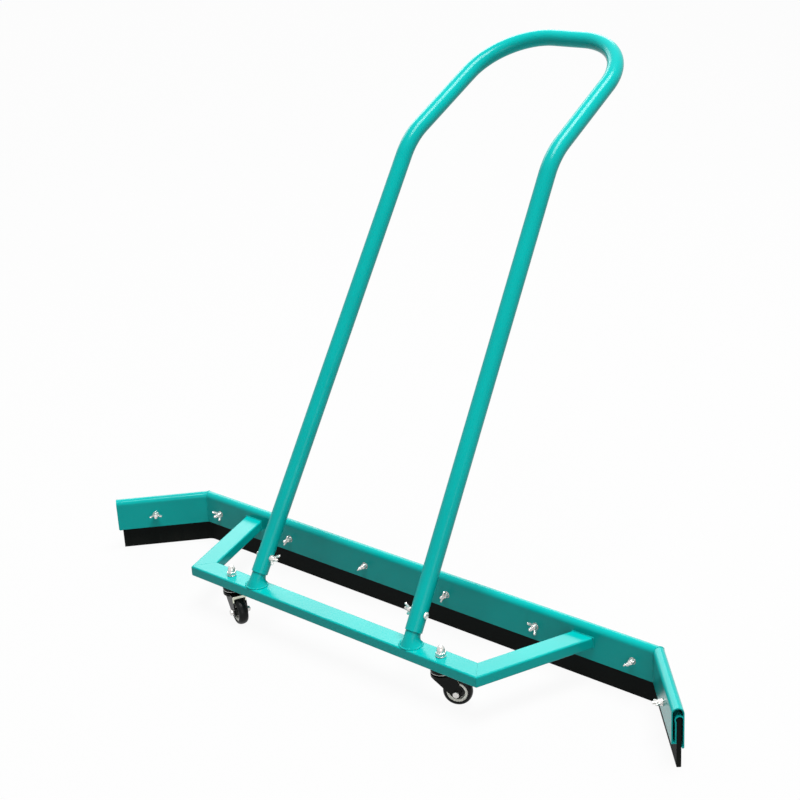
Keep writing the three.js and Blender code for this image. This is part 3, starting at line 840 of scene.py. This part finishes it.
@dataclass(frozen=True)
class WeldBead:
    """A rippled bead of paint-covered weld metal along a route. Sizes are in millimetres."""

    radius: float
    ripple: float
    seed: int
    size_spread: float = 0.15
    shift: float = 0.15
    drop_segments: int = 10
    drop_rings: int = 7
    sharp: float = 80.0

    def build(self, shop: Workshop, name: str, points: Sequence[Vector]) -> None:
        """Lays overlapping drops along a route of points in metres.

        Args:
            shop: The workshop.
            name: The piece's name.
            points: The route.
        """
        chance = random.Random(self.seed + len(name))
        shift = self.shift * MM
        bm = bmesh.new()
        for start, end in zip(points, points[1:]):
            run = end - start
            count = max(1, round(run.length / (self.ripple * MM)))
            for i in range(count):
                size = self.radius * MM * chance.uniform(1 - self.size_spread, 1 + self.size_spread)
                stray = Vector([chance.uniform(-shift, shift) for _ in range(3)])
                place = start + run * ((i + 0.5) / count) + stray
                bmesh.ops.create_uvsphere(bm, u_segments=self.drop_segments, v_segments=self.drop_rings,
                                          radius=size, matrix=Matrix.Translation(place))
        shop.piece(name, bm, Slot.PAINT, ROOT, sharp=self.sharp)


@dataclass
class SupportFrame:
    """The crossbar, the arms, the sockets and the welds between them and the holder.

    Sizes are in millimetres and repeat the solids' own.
    """

    reach: float = 214.0
    front_half: float = 338.0
    back_half: float = 414.5
    tube_width: float = 40.0
    tube_corner: float = 3.0
    tube_edge: Rounding = Rounding(0.5, 1, 50.0)
    mitre_gap: float = 0.3
    mitre_fill_share: float = 0.95
    mitre_recess: float = 0.12
    mitre_corner_steps: int = 4
    arm_bead: WeldBead = WeldBead(1.5, 2.4, 5)
    arm_bead_depth: float = 0.6
    socket_wall_gap: float = 0.3
    socket_height: float = 92.0
    socket_sides: int = 64
    socket_sharp: float = 50.0
    flare_width: float = 7.0
    flare_height: float = 15.0
    flare_steps: int = 16
    socket_bead: WeldBead = WeldBead(1.9, 2.4, 11)
    socket_bead_steps: int = 48

    @property
    def splay(self) -> float:
        """The arms' angle from straight back."""
        return math.atan2(self.back_half - self.front_half, self.reach)

    def build(self, shop: Workshop, handle: PushHandle) -> None:
        """Dresses the tubes and the sockets, and lays the welds.

        Args:
            shop: The workshop.
            handle: The handle that stands on the sockets.
        """
        for node in ("front_crossbar", "left_arm", "right_arm"):
            shop.refined(node, Slot.PAINT, ROOT, self.tube_edge)
        for side in Side:
            self.mitre_fill(shop, side)
            self.socket(shop, handle, side)
            self.arm_weld(shop, side)

    def mitre_fill(self, shop: Workshop, side: Side) -> None:
        """Fills the seam at a front corner, a little below the tubes' faces.

        Args:
            shop: The workshop.
            side: The half of the squeegee.
        """
        low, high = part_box("front_crossbar")
        corner = Vector((high[0] if side is Side.RIGHT else low[0], low[1], 0.0))
        inward = Vector((-side.value * math.cos(self.splay), math.sin(self.splay), 0.0))
        across = (inward + Y_AXIS) / (1 + inward.dot(Y_AXIS))
        normal = across.cross(Z_AXIS).normalized() * (self.mitre_gap / 2 * self.mitre_fill_share * MM)
        turn = self.tube_corner - self.mitre_recess
        front, back = self.tube_corner, self.tube_width - self.tube_corner
        bottom, top = low[2] / MM + self.tube_corner, high[2] / MM - self.tube_corner
        outline = []
        for number, (x, z) in enumerate(((back, top), (front, top), (front, bottom), (back, bottom))):
            start = number * math.pi / 2
            outline += [corner - normal + (across * (x + turn * c) + Z_AXIS * (z + turn * s)) * MM
                        for c, s in arc(start, start + math.pi / 2, self.mitre_corner_steps)]
        shop.piece(f"{side.word}_mitre_fill", slab(outline, normal * 2), Slot.PAINT, ROOT)

    def socket(self, shop: Workshop, handle: PushHandle, side: Side) -> None:
        """Makes a spigot that flares into its foot, with a bead round the foot.

        Args:
            shop: The workshop.
            handle: The handle that stands on the socket.
            side: The half of the squeegee.
        """
        outer = handle.tube_radius - handle.tube_wall - self.socket_wall_gap
        lean = math.cos(handle.leg_lean)
        foot_depth = (self.tube_width - self.tube_corner) / 2
        stations = []
        for i in range(self.flare_steps + 1):
            share = i / self.flare_steps
            flare = (1 - share) ** 2
            at = handle.leg_point(side, share * self.flare_height / lean) + Z_AXIS * self.mitre_gap
            at += Y_AXIS * handle.foot_forward * flare
            width = outer + self.flare_width * flare
            depth = outer / lean + (foot_depth - outer / lean) * flare
            stations.append(station(at * MM, X_AXIS * width * MM, Y_AXIS * depth * MM))
        top = stations[-1].copy()
        top.translation = handle.leg_point(side, self.socket_height - outer * math.tan(handle.leg_lean)) * MM
        node = f"{side.word}_socket"
        bm = tube(stations + [top], self.socket_sides)
        shop.piece(f"{node}_dressed", bm, Slot.PAINT, ROOT, [node], self.socket_sharp)
        ring = [stations[0] @ Vector((c, s, 0.0)) for c, s in arc(0.0, 2 * math.pi, self.socket_bead_steps)]
        self.socket_bead.build(shop, f"{side.word}_socket_weld", ring)

    def arm_weld(self, shop: Workshop, side: Side) -> None:
        """Lays the bead where an arm meets the holder's front face.

        Args:
            shop: The workshop.
            side: The half of the squeegee.
        """
        low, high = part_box(f"{side.word}_arm")
        outer = high[0] if side is Side.RIGHT else low[0]
        inner = outer - side.value * self.tube_width / math.cos(self.splay) * MM
        y = high[1] - self.arm_bead_depth * MM
        corners = [Vector((x, y, z)) for x, z in
                   ((outer, low[2]), (outer, high[2]), (inner, high[2]), (inner, low[2]))]
        self.arm_bead.build(shop, f"{side.word}_arm_weld", corners + corners[:1])


@dataclass
class Blade:
    """The three holder pieces, their corner welds and the rubber.

    Sizes are in millimetres and repeat the solids' own.
    """

    holder_edge: Rounding = Rounding(0.35, 2, 40.0)
    rubber_edge: Rounding = Rounding(0.3, 1, 60.0)
    wing_angle: float = math.radians(48)
    corner_half: float = 530.0
    depth: float = 20.0
    corner_bead: WeldBead = WeldBead(0.8, 1.8, 3)
    bead_front_foot: float = 12.0
    bead_back_foot: float = 5.0
    bead_arc_steps: int = 12

    def build(self, shop: Workshop) -> None:
        """Dresses the holders and the rubber, and lays the corner welds.

        Args:
            shop: The workshop.
        """
        for node in ("main_holder", "left_wing_holder", "right_wing_holder"):
            shop.refined(node, Slot.PAINT, ROOT, self.holder_edge)
        shop.refined("rubber_blade", Slot.RUBBER, ROOT, self.rubber_edge)
        for side in Side:
            self.corner_weld(shop, side)

    def corner_weld(self, shop: Workshop, side: Side) -> None:
        """Lays the bead up the front of a mitre, over the dome and down its back.

        Args:
            shop: The workshop.
            side: The half of the squeegee.
        """
        low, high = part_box("main_holder")
        slope = math.tan(self.wing_angle / 2)
        radius = self.depth / 2 * MM
        top = high[2] - radius
        over = []
        for c, s in arc(0.0, math.pi, self.bead_arc_steps):
            back = radius * (1 - c)
            out = self.corner_half * MM + back * slope
            over.append(Vector((side.value * out, low[1] + back, top + radius * s)))
        first = Vector((over[0].x, over[0].y, low[2] + self.bead_front_foot * MM))
        last = Vector((over[-1].x, over[-1].y, low[2] + self.bead_back_foot * MM))
        self.corner_bead.build(shop, f"{side.word}_wing_weld", [first, *over, last])


@dataclass
class FastenerSet:
    """A bolt, a washer and a wing nut, laid out along +Y from the face that the washer seats on.

    Sizes are in millimetres and repeat the solids' own.
    """

    clamped: float
    protrusion: float
    bolt_radius: float = 3.0
    head_radius: float = 6.0
    head_height: float = 3.6
    head_rim: float = 1.0
    head_chip: float = 0.3
    head_steps: int = 8
    end_chamfer: float = 0.8
    end_taper: float = 0.6
    washer_radius: float = 6.2
    washer_thickness: float = 1.2
    washer_chip: float = 0.2
    round_steps: int = 40
    gap: float = 0.3
    bore_gap: float = 0.1
    hub_base: float = 5.6
    hub_top: float = 4.6
    hub_height: float = 6.0
    hub_chip: float = 0.4
    hub_steps: int = 32
    reach: float = 12.5
    height: float = 12.0
    tip_radius: float = 2.5
    tip_steps: int = 14
    wing_foot_share: float = 0.15
    wing_thickness: float = 2.6
    wing_edge: Rounding = Rounding(0.9, 3, 60.0)
    thread_pitch: float = 1.0
    thread_depth: float = 0.45
    thread_bite: float = 0.1
    thread_half_share: float = 0.42
    thread_start_share: float = 0.4
    thread_runout: float = 1.2
    thread_steps: int = 20
    sharp: float = 40.0

    @property
    def nut_seat(self) -> float:
        """Where the nut's underside lies."""
        return self.gap + self.washer_thickness + self.gap

    def bolt(self) -> bmesh.types.BMesh:
        """A domed head, a shank and a threaded end with a chamfer.

        Returns:
            The bolt's mesh.
        """
        seat = -self.clamped - self.gap
        rim = seat - self.head_rim
        dome = [(self.head_radius * s, rim - (self.head_height - self.head_rim) * c)
                for c, s in arc(0.0, math.pi / 2, self.head_steps)]
        core = self.bolt_radius - self.thread_depth
        start = self.nut_seat + self.hub_height * self.thread_start_share
        bm = turned([*dome, (self.head_radius, seat - self.head_chip),
                     (self.head_radius - self.head_chip, seat), (self.bolt_radius, seat),
                     (self.bolt_radius, start), (core, start),
                     (core, self.protrusion - self.end_chamfer), (core - self.end_taper, self.protrusion),
                     (0.0, self.protrusion)], self.round_steps)
        append(bm, self.thread(core, start))
        return bm

    def thread(self, core: float, start: float) -> bmesh.types.BMesh:
        """The ridge that winds round the bolt's end.

        Args:
            core: The radius between the ridge's turns.
            start: Where the ridge starts.

        Returns:
            The ridge's mesh, closed at both ends.
        """
        half = self.thread_pitch * self.thread_half_share
        root, crest = core - self.thread_bite, core + self.thread_depth
        bm = bmesh.new()
        ridge = bm.faces.new([bm.verts.new((r * MM, h * MM, 0.0))
                              for r, h in ((root, start + half), (crest, start), (root, start - half))])
        turns = (self.protrusion - self.thread_runout - start) / self.thread_pitch
        count = int(turns * self.thread_steps)
        bmesh.ops.spin(bm, geom=[ridge], cent=(0, 0, 0), axis=-Y_AXIS,
                       dvec=Y_AXIS * (self.thread_pitch / self.thread_steps * MM),
                       angle=2 * math.pi * count / self.thread_steps, steps=count, use_merge=False,
                       use_duplicate=False)
        bmesh.ops.recalc_face_normals(bm, faces=bm.faces)
        return bm

    def washer(self) -> bmesh.types.BMesh:
        """A flat washer with broken edges.

        Returns:
            The washer's mesh.
        """
        inner, outer = self.bolt_radius + self.gap, self.washer_radius
        low, high, chip = self.gap, self.gap + self.washer_thickness, self.washer_chip
        return turned([(inner, low), (outer - chip, low), (outer, low + chip), (outer, high - chip),
                       (outer - chip, high), (inner, high), (inner, low)], self.round_steps)

    def wing_nut(self, turn: float) -> bmesh.types.BMesh:
        """A bored hub with two drop-shaped wings, turned about its bolt by an angle.

        Args:
            turn: The angle, in radians.

        Returns:
            The nut's mesh.
        """
        bore, chip = self.bolt_radius + self.bore_gap, self.hub_chip
        seat, top = self.nut_seat, self.nut_seat + self.hub_height
        bm = turned([(bore, seat), (self.hub_base - chip, seat), (self.hub_base, seat + chip),
                     (self.hub_top, top - chip), (self.hub_top - chip, top), (bore, top), (bore, seat)],
                    self.hub_steps)
        for hand in (0.0, math.pi):
            wing = self.wing()
            bmesh.ops.transform(wing, matrix=Matrix.Rotation(hand, 4, "Y"), verts=wing.verts)
            append(bm, wing)
        bmesh.ops.transform(bm, matrix=Matrix.Rotation(turn, 4, "Y"), verts=bm.verts)
        return bm

    def wing(self) -> bmesh.types.BMesh:
        """One wing, thick at the hub and rounded at its edges.

        Returns:
            The wing's mesh, reaching towards +X.
        """
        root = (self.bolt_radius + self.gap + self.hub_top) / 2
        low = Vector((root, self.hub_height * self.wing_foot_share))
        high = Vector((root, self.hub_height))
        tip = Vector((self.reach - self.tip_radius, self.height - self.tip_radius))
        start = touch_angle(tip, self.tip_radius, low, 1)
        swept = (touch_angle(tip, self.tip_radius, high, -1) - start) % (2 * math.pi)
        drop = [tip + Vector(way) * self.tip_radius for way in arc(start, start + swept, self.tip_steps)]
        thick = self.wing_thickness
        outline = [Vector((p.x, p.y + self.nut_seat, -thick / 2)) * MM for p in (low, *drop, high)]
        bm = slab(outline, Z_AXIS * (thick * MM))
        self.wing_edge.bevel(bm)
        return bm

    def build(self, shop: Workshop, place: str, number: int, seat: Matrix, turn: float) -> None:
        """Makes the three pieces.

        Args:
            shop: The workshop.
            place: The place's word in the node names.
            number: The set's number.
            seat: The matrix from the set's own frame to the squeegee's.
            turn: The wing nut's turn about its bolt, in radians.
        """
        for what, body, bm in (
            ("bolt", ROOT, self.bolt()),
            ("washer", f"{place}_washer_{number}_slide", self.washer()),
            ("wing_nut", f"{place}_wing_nut_{number}_spin", self.wing_nut(turn)),
        ):
            node = f"{place}_{what}_{number}"
            bmesh.ops.transform(bm, matrix=seat, verts=bm.verts)
            shop.piece(f"{node}_dressed", bm, Slot.ZINC, body, [node], self.sharp)


@dataclass
class Fasteners:
    """All ten sets of bolt, washer and wing nut. Lengths are in millimetres and turns in degrees."""

    bolts_on_main: int = 6
    pitch: float = 196.5
    bolt_height: float = 69.0
    wing_place: float = 104.0
    blade_protrusion: float = 17.5
    leg_protrusion: float = 16.0
    blade_turns: Tuple[float, ...] = (0, -35, 62, 40, 70, -50, 35, 10)
    handle_turns: Tuple[float, ...] = (25, 80)

    def blade_seat(self, blade: Blade, number: int) -> Matrix:
        """The frame on the front face in which one of the blade's sets is laid out.

        Args:
            blade: The blade.
            number: The set's number, from 1 at the left wing.

        Returns:
            The matrix from the set's own frame to the squeegee's.
        """
        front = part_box("main_holder")[0][1]
        along = (number - 2 - (self.bolts_on_main - 1) / 2) * self.pitch
        if number in (1, self.bolts_on_main + 2):
            hand = -1 if number == 1 else 1
            corner = Matrix.Translation((hand * blade.corner_half * MM, front, self.bolt_height * MM))
            swing = Matrix.Rotation(-hand * blade.wing_angle, 4, "Z")
            place = corner @ swing @ Matrix.Translation((hand * self.wing_place * MM, 0, 0))
        else:
            place = Matrix.Translation((along * MM, front, self.bolt_height * MM))
        return place @ Matrix.Rotation(math.pi, 4, "Z")

    def build(self, shop: Workshop, handle: PushHandle, blade: Blade) -> None:
        """Makes every set in its place.

        Args:
            shop: The workshop.
            handle: The handle that two sets go through.
            blade: The blade that the other sets clamp.
        """
        blade_set = FastenerSet(clamped=blade.depth, protrusion=self.blade_protrusion)
        for number, degrees in enumerate(self.blade_turns, 1):
            blade_set.build(shop, "blade", number, self.blade_seat(blade, number), math.radians(degrees))
        leg_set = FastenerSet(clamped=2 * handle.tube_radius, protrusion=self.leg_protrusion)
        for number, (side, degrees) in enumerate(zip(Side, self.handle_turns), 1):
            place = handle.leg_point(side, handle.bolt_rise) - X_AXIS * side.value * handle.tube_radius
            seat = Matrix.Translation(place * MM) @ Matrix.Rotation(side.value * math.pi / 2, 4, "Z")
            leg_set.build(shop, "handle", number, seat, math.radians(degrees))


@dataclass
class Caster:
    """One swivel caster, whose wheel trails its stem in the direction of its heading.

    Sizes are in millimetres and repeat the solids' own. The heading is in radians from +X.
    """

    side: Side
    heading: float
    wheel_radius: float = 25.0
    wheel_steps: int = 96
    tyre_width: float = 18.0
    tyre_thickness: float = 7.0
    tyre_clearance: float = 0.3
    tyre_crown: float = 5.0
    crown_steps: int = 24
    rim_width: float = 15.0
    rim_thickness: float = 4.8
    rim_overlap: float = 0.6
    hub_chip: float = 0.5
    web_thickness: float = 4.0
    web_fillet: float = 1.0
    boss_radius: float = 6.8
    boss_half: float = 10.0
    bore: float = 4.6
    fork_end: float = 29.5
    fork_plate: float = 2.5
    fork_lip: float = 5.0
    lip_plate_share: float = 0.6
    lip_drop_share: float = 2.2
    race_height: float = 3.0
    race_rim: float = 0.9
    nut_flats: float = 16.0
    nut_flange: float = 8.6
    nut_flange_height: float = 1.5
    nut_flange_chip: float = 0.4
    nut_hex_height: float = 6.3
    nut_dome: float = 7.3
    nut_dome_height: float = 12.0
    dome_steps: int = 16
    nut_steps: int = 64
    nut_edge: Rounding = Rounding(0.7, 3)
    fork_edge: Rounding = Rounding(0.7, 3)
    race_edge: Rounding = Rounding(0.4, 3)
    small_edge: Rounding = Rounding(0.3, 2)
    sharp: float = 30.0

    def name(self, what: str) -> str:
        """A node's name on this caster."""
        return f"{self.side.word}_{what}"

    @property
    def swivel(self) -> str:
        """The body that swivels."""
        return self.name("caster_swivel")

    @property
    def wheel(self) -> str:
        """The body that rolls."""
        return self.name("caster_wheel")

    def middle(self, what: str) -> Vector:
        """The middle of a node's box."""
        low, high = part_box(self.name(what))
        return (Vector(low) + Vector(high)) / 2

    def on_axle(self, shop: Workshop, node: str, slot: Slot, profile: Profile,
                materials: Sequence[bpy.types.Material] = (), picker: Optional[Picker] = None) -> None:
        """Turns a profile round the axle in place of a node of the wheel.

        Args:
            shop: The workshop.
            node: The node's name without the side.
            slot: The record slot of its finish.
            profile: Points of (radius, place along the axle).
            materials: Its materials, if not just the slot's own.
            picker: Gives a face's material number, in the frame that has Y along the axle.
        """
        bm = turned(profile, self.wheel_steps)
        if picker:
            for face in bm.faces:
                face.material_index = picker(face)
        axle = Matrix.Translation(self.middle("tyre")) @ Matrix.Rotation(self.heading, 4, "Z")
        bmesh.ops.transform(bm, matrix=axle, verts=bm.verts)
        name = self.name(node)
        shop.piece(f"{name}_dressed", bm, slot, self.wheel, [name], self.sharp, materials)

    def tyre(self, shop: Workshop) -> None:
        """A tyre whose tread and walls are one round crown.

        Args:
            shop: The workshop.
        """
        inside = self.wheel_radius - self.tyre_thickness + self.tyre_clearance
        half = self.tyre_width / 2
        crown = [(self.wheel_radius - self.tyre_crown * (1 - c), half * s)
                 for c, s in arc(-math.pi / 2, math.pi / 2, self.crown_steps)]
        self.on_axle(shop, "tyre", Slot.TYRE, [(inside, -half), *crown, (inside, half), (inside, -half)])

    def hub(self, shop: Workshop) -> None:
        """A pale rim, with the dished web and the boss painted near-black as painted shade.

        Args:
            shop: The workshop.
        """
        rim = self.wheel_radius - self.tyre_thickness
        half, web = self.rim_width / 2, self.web_thickness / 2
        inner = rim - self.rim_thickness
        chip, fillet = self.hub_chip, self.web_fillet
        side = [(self.bore, self.boss_half), (self.boss_radius - chip, self.boss_half),
                (self.boss_radius, self.boss_half - chip), (self.boss_radius, web + fillet),
                (self.boss_radius + fillet, web), (inner - fillet, web), (inner, web + fillet),
                (inner, half - chip), (inner + chip, half), (rim - chip, half), (rim, half - chip)]
        profile = side + [(r, -h) for r, h in reversed(side)] + side[:1]
        # Inside this radius the hub is painted dark as painted shade of its recess.
        pale_from = (inner - self.rim_overlap) * MM

        def picker(face: bmesh.types.BMFace) -> int:
            """Material 0 on the rim, 1, the painted shade, on the web and the boss."""
            centre = face.calc_center_median()
            return 0 if math.hypot(centre.x, centre.z) > pale_from else 1

        self.on_axle(shop, "wheel_hub", Slot.HUB, profile, (shop.palette.hub, shop.palette.web), picker)

    def top_race(self, shop: Workshop) -> None:
        """The black race over the balls, with a painted highlight round its lower rim.

        Args:
            shop: The workshop.
        """
        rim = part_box(self.name("top_race"))[0][2] + self.race_rim * MM

        def picker(face: bmesh.types.BMFace) -> int:
            """Material 1, the painted highlight, on the lower rim, 0 above it."""
            return int(face.calc_center_median().z < rim)

        # palette.worn here is the rim's painted highlight, not wear.
        shop.refined(self.name("top_race"), Slot.BLACK, ROOT, self.race_edge,
                     (shop.palette.black, shop.palette.worn), picker, rim)

    def fork(self, shop: Workshop) -> None:
        """The black fork, with a painted highlight along its lip over the wheel.

        Args:
            shop: The workshop.
        """
        stem = self.middle("stem")
        ahead = Vector((math.cos(self.heading), math.sin(self.heading), 0.0))
        lip_start = (self.fork_end - self.fork_plate * self.lip_plate_share) * MM
        lip_drop = self.race_height + self.lip_drop_share * self.fork_lip
        lip_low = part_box(self.name("fork"))[1][2] - lip_drop * MM

        def picker(face: bmesh.types.BMFace) -> int:
            """Material 1, the painted highlight, on the lip, 0 elsewhere."""
            centre = face.calc_center_median()
            return int((centre - stem).dot(ahead) > lip_start and centre.z > lip_low)

        shop.refined(self.name("fork"), Slot.BLACK, self.swivel, self.fork_edge,
                     (shop.palette.black, shop.palette.lip), picker, lip_low)

    def acorn_nut(self, shop: Workshop) -> None:
        """A flanged hexagon under a smooth dome.

        Args:
            shop: The workshop.
        """
        name = self.name("acorn_nut")
        rim, chip, flange = self.nut_flange, self.nut_flange_chip, self.nut_flange_height
        dome_base = flange + self.nut_hex_height
        bm = turned([(0.0, 0.0), (rim - chip, 0.0), (rim, chip), (rim, flange - chip), (rim - chip, flange),
                     (self.nut_dome, flange)]
                    + [(self.nut_dome * c, dome_base + self.nut_dome_height * s)
                       for c, s in arc(0.0, math.pi / 2, self.dome_steps)], self.nut_steps)
        hexagon = bmesh.new()
        corner = self.nut_flats / math.sqrt(3) * MM
        bmesh.ops.create_cone(hexagon, cap_ends=True, segments=6, radius1=corner, radius2=corner,
                              depth=self.nut_hex_height * MM)
        self.nut_edge.bevel(hexagon)
        lift = Matrix.Translation(Y_AXIS * ((flange + dome_base) / 2 * MM))
        upright = Matrix.Rotation(-math.pi / 2, 4, "X")
        bmesh.ops.transform(hexagon, matrix=lift @ upright, verts=hexagon.verts)
        append(bm, hexagon)
        foot = self.middle("acorn_nut")
        foot.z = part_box(name)[0][2]
        turn = Matrix.Rotation(self.heading, 4, "Z") @ Matrix.Rotation(math.pi / 2, 4, "X")
        bmesh.ops.transform(bm, matrix=Matrix.Translation(foot) @ turn, verts=bm.verts)
        shop.piece(f"{name}_dressed", bm, Slot.ZINC, ROOT, [name], self.sharp)

    def build(self, shop: Workshop) -> None:
        """Dresses every piece of the caster.

        Args:
            shop: The workshop.
        """
        self.tyre(shop)
        self.hub(shop)
        self.acorn_nut(shop)
        shop.refined(self.name("stem"), Slot.ZINC, ROOT, self.race_edge)
        self.top_race(shop)
        self.fork(shop)
        for what in ("ball_ring", "axle_bolt", "axle_nut", "axle_sleeve"):
            shop.refined(self.name(what), Slot.ZINC, self.swivel, self.small_edge)


# Studio

@dataclass(frozen=True)
class Softbox:
    """A rectangular light that faces a point, with lengths in metres and its power in watts."""

    name: str
    place: Triple
    size: Pair
    power: float
    aim: Triple = (0.0, 0.0, 0.4)

    def hang(self) -> None:
        """Puts the light in its place."""
        data = bpy.data.lights.new(self.name, "AREA")
        data.shape = "RECTANGLE"
        data.size, data.size_y = self.size
        data.energy = self.power
        obj = add_object(self.name, data)
        obj.location = self.place
        obj.rotation_euler = (Vector(self.aim) - Vector(self.place)).to_track_quat("-Z", "Y").to_euler()
        obj.visible_camera = False


@dataclass
class Studio:
    """The camera as the photograph has it, soft light, and a surround and floor that show as white.

    Lengths are in metres, and the sensor's width is in millimetres.
    """

    yaw: float = math.radians(42.63)
    pitch: float = math.radians(20.91)
    roll: float = math.radians(-3.35)
    distance: float = 2.8458
    target: Triple = (0.01294, -0.0119, 0.42042)
    focal_share: float = 1645.93 / 800
    sensor: float = 36.0
    far_clip: float = 200.0
    floor_half: float = 60.0
    floor_dark: Triple = (0.34, 0.34, 0.34)
    floor_light: Triple = (0.36, 0.36, 0.36)
    floor_cells: float = 3.0
    floor_roughness: float = 0.9
    world_level: float = 0.1
    world_glow: float = 0.97
    floor_glow: float = 0.94
    lights: Tuple[Softbox, ...] = (
        Softbox("back_panel", (-8.76, 6.48, 5.6), (13.4, 5.2), 920.0),
        Softbox("key_light", (1.2, 0.3, 7.4), (5.0, 3.0), 1180.0),
        Softbox("front_fill", (2.6, -1.9, 0.8), (1.8, 1.2), 18.0, (0.1, -0.2, 0.1)),
    )

    def camera(self) -> None:
        """Places the camera."""
        level = math.cos(self.pitch)
        forward = Vector((-math.sin(self.yaw) * level, math.cos(self.yaw) * level, -math.sin(self.pitch)))
        right = Vector((math.cos(self.yaw), math.sin(self.yaw), 0.0))
        up = right.cross(forward)
        rolled_right = right * math.cos(self.roll) + up * math.sin(self.roll)
        rolled_up = up * math.cos(self.roll) - right * math.sin(self.roll)
        data = bpy.data.cameras.new("camera")
        data.sensor_width = self.sensor
        data.lens = self.focal_share * self.sensor
        data.clip_end = self.far_clip
        obj = add_object("camera", data)
        obj.matrix_world = station(Vector(self.target) - forward * self.distance, rolled_right, rolled_up)
        bpy.context.scene.camera = obj

    def world(self) -> None:
        """A surround that shows as white and lights the squeegee only a little."""
        world = bpy.data.worlds.new("surround")
        world.use_nodes = True
        nodes = Nodes(world.node_tree)
        strength = self.world_level + nodes.showing() * (self.world_glow - self.world_level)
        background = nodes.node("ShaderNodeBackground", {}, {"Color": WHITE, "Strength": strength})
        nodes.node("ShaderNodeOutputWorld", {}, {"Surface": background.outputs[0]})
        bpy.context.scene.world = world

    def floor(self) -> None:
        """A floor that shows as nearly white, with a faint shadow.

        Its glow isn't sampled as a light, since it only has to be seen, and that keeps the render clean.
        """
        bm = bmesh.new()
        bmesh.ops.create_grid(bm, x_segments=1, y_segments=1, size=self.floor_half)
        mesh = bpy.data.meshes.new("floor")
        bm.to_mesh(mesh)
        bm.free()
        obj = add_object("floor", mesh)
        shader = Shader("floor")
        tone = shader.mix(shader.noise(self.floor_cells), self.floor_dark, self.floor_light)
        shader.surface(Base_Color=tone, Roughness=self.floor_roughness)
        glow = shader.node("ShaderNodeEmission", {}, {"Color": WHITE, "Strength": 1.0})
        share = shader.showing() * self.floor_glow
        sockets = {0: share, 1: shader.principled.outputs[0], 2: glow.outputs[0]}
        blend = shader.node("ShaderNodeMixShader", {}, sockets)
        shader.feed(shader.output.inputs["Surface"], blend.outputs[0])
        shader.material.cycles.emission_sampling = "NONE"
        mesh.materials.append(shader.material)

    def build(self) -> None:
        """Makes the whole studio."""
        self.camera()
        self.world()
        self.floor()
        for light in self.lights:
            light.hang()
        bpy.context.scene.view_settings.view_transform = "Standard"


def main() -> None:
    """Builds the squeegee and its studio."""
    logging.basicConfig(level=logging.INFO, format="%(name)s: %(message)s")
    Studio().build()
    shop = Workshop(Palette())
    handle = PushHandle()
    blade = Blade()
    handle.build(shop)
    SupportFrame().build(shop, handle)
    blade.build(shop)
    Fasteners().build(shop, handle, blade)
    for side, degrees in CASTER_HEADINGS.items():
        Caster(side, math.radians(degrees)).build(shop)


if __name__ == "__main__":
    main()
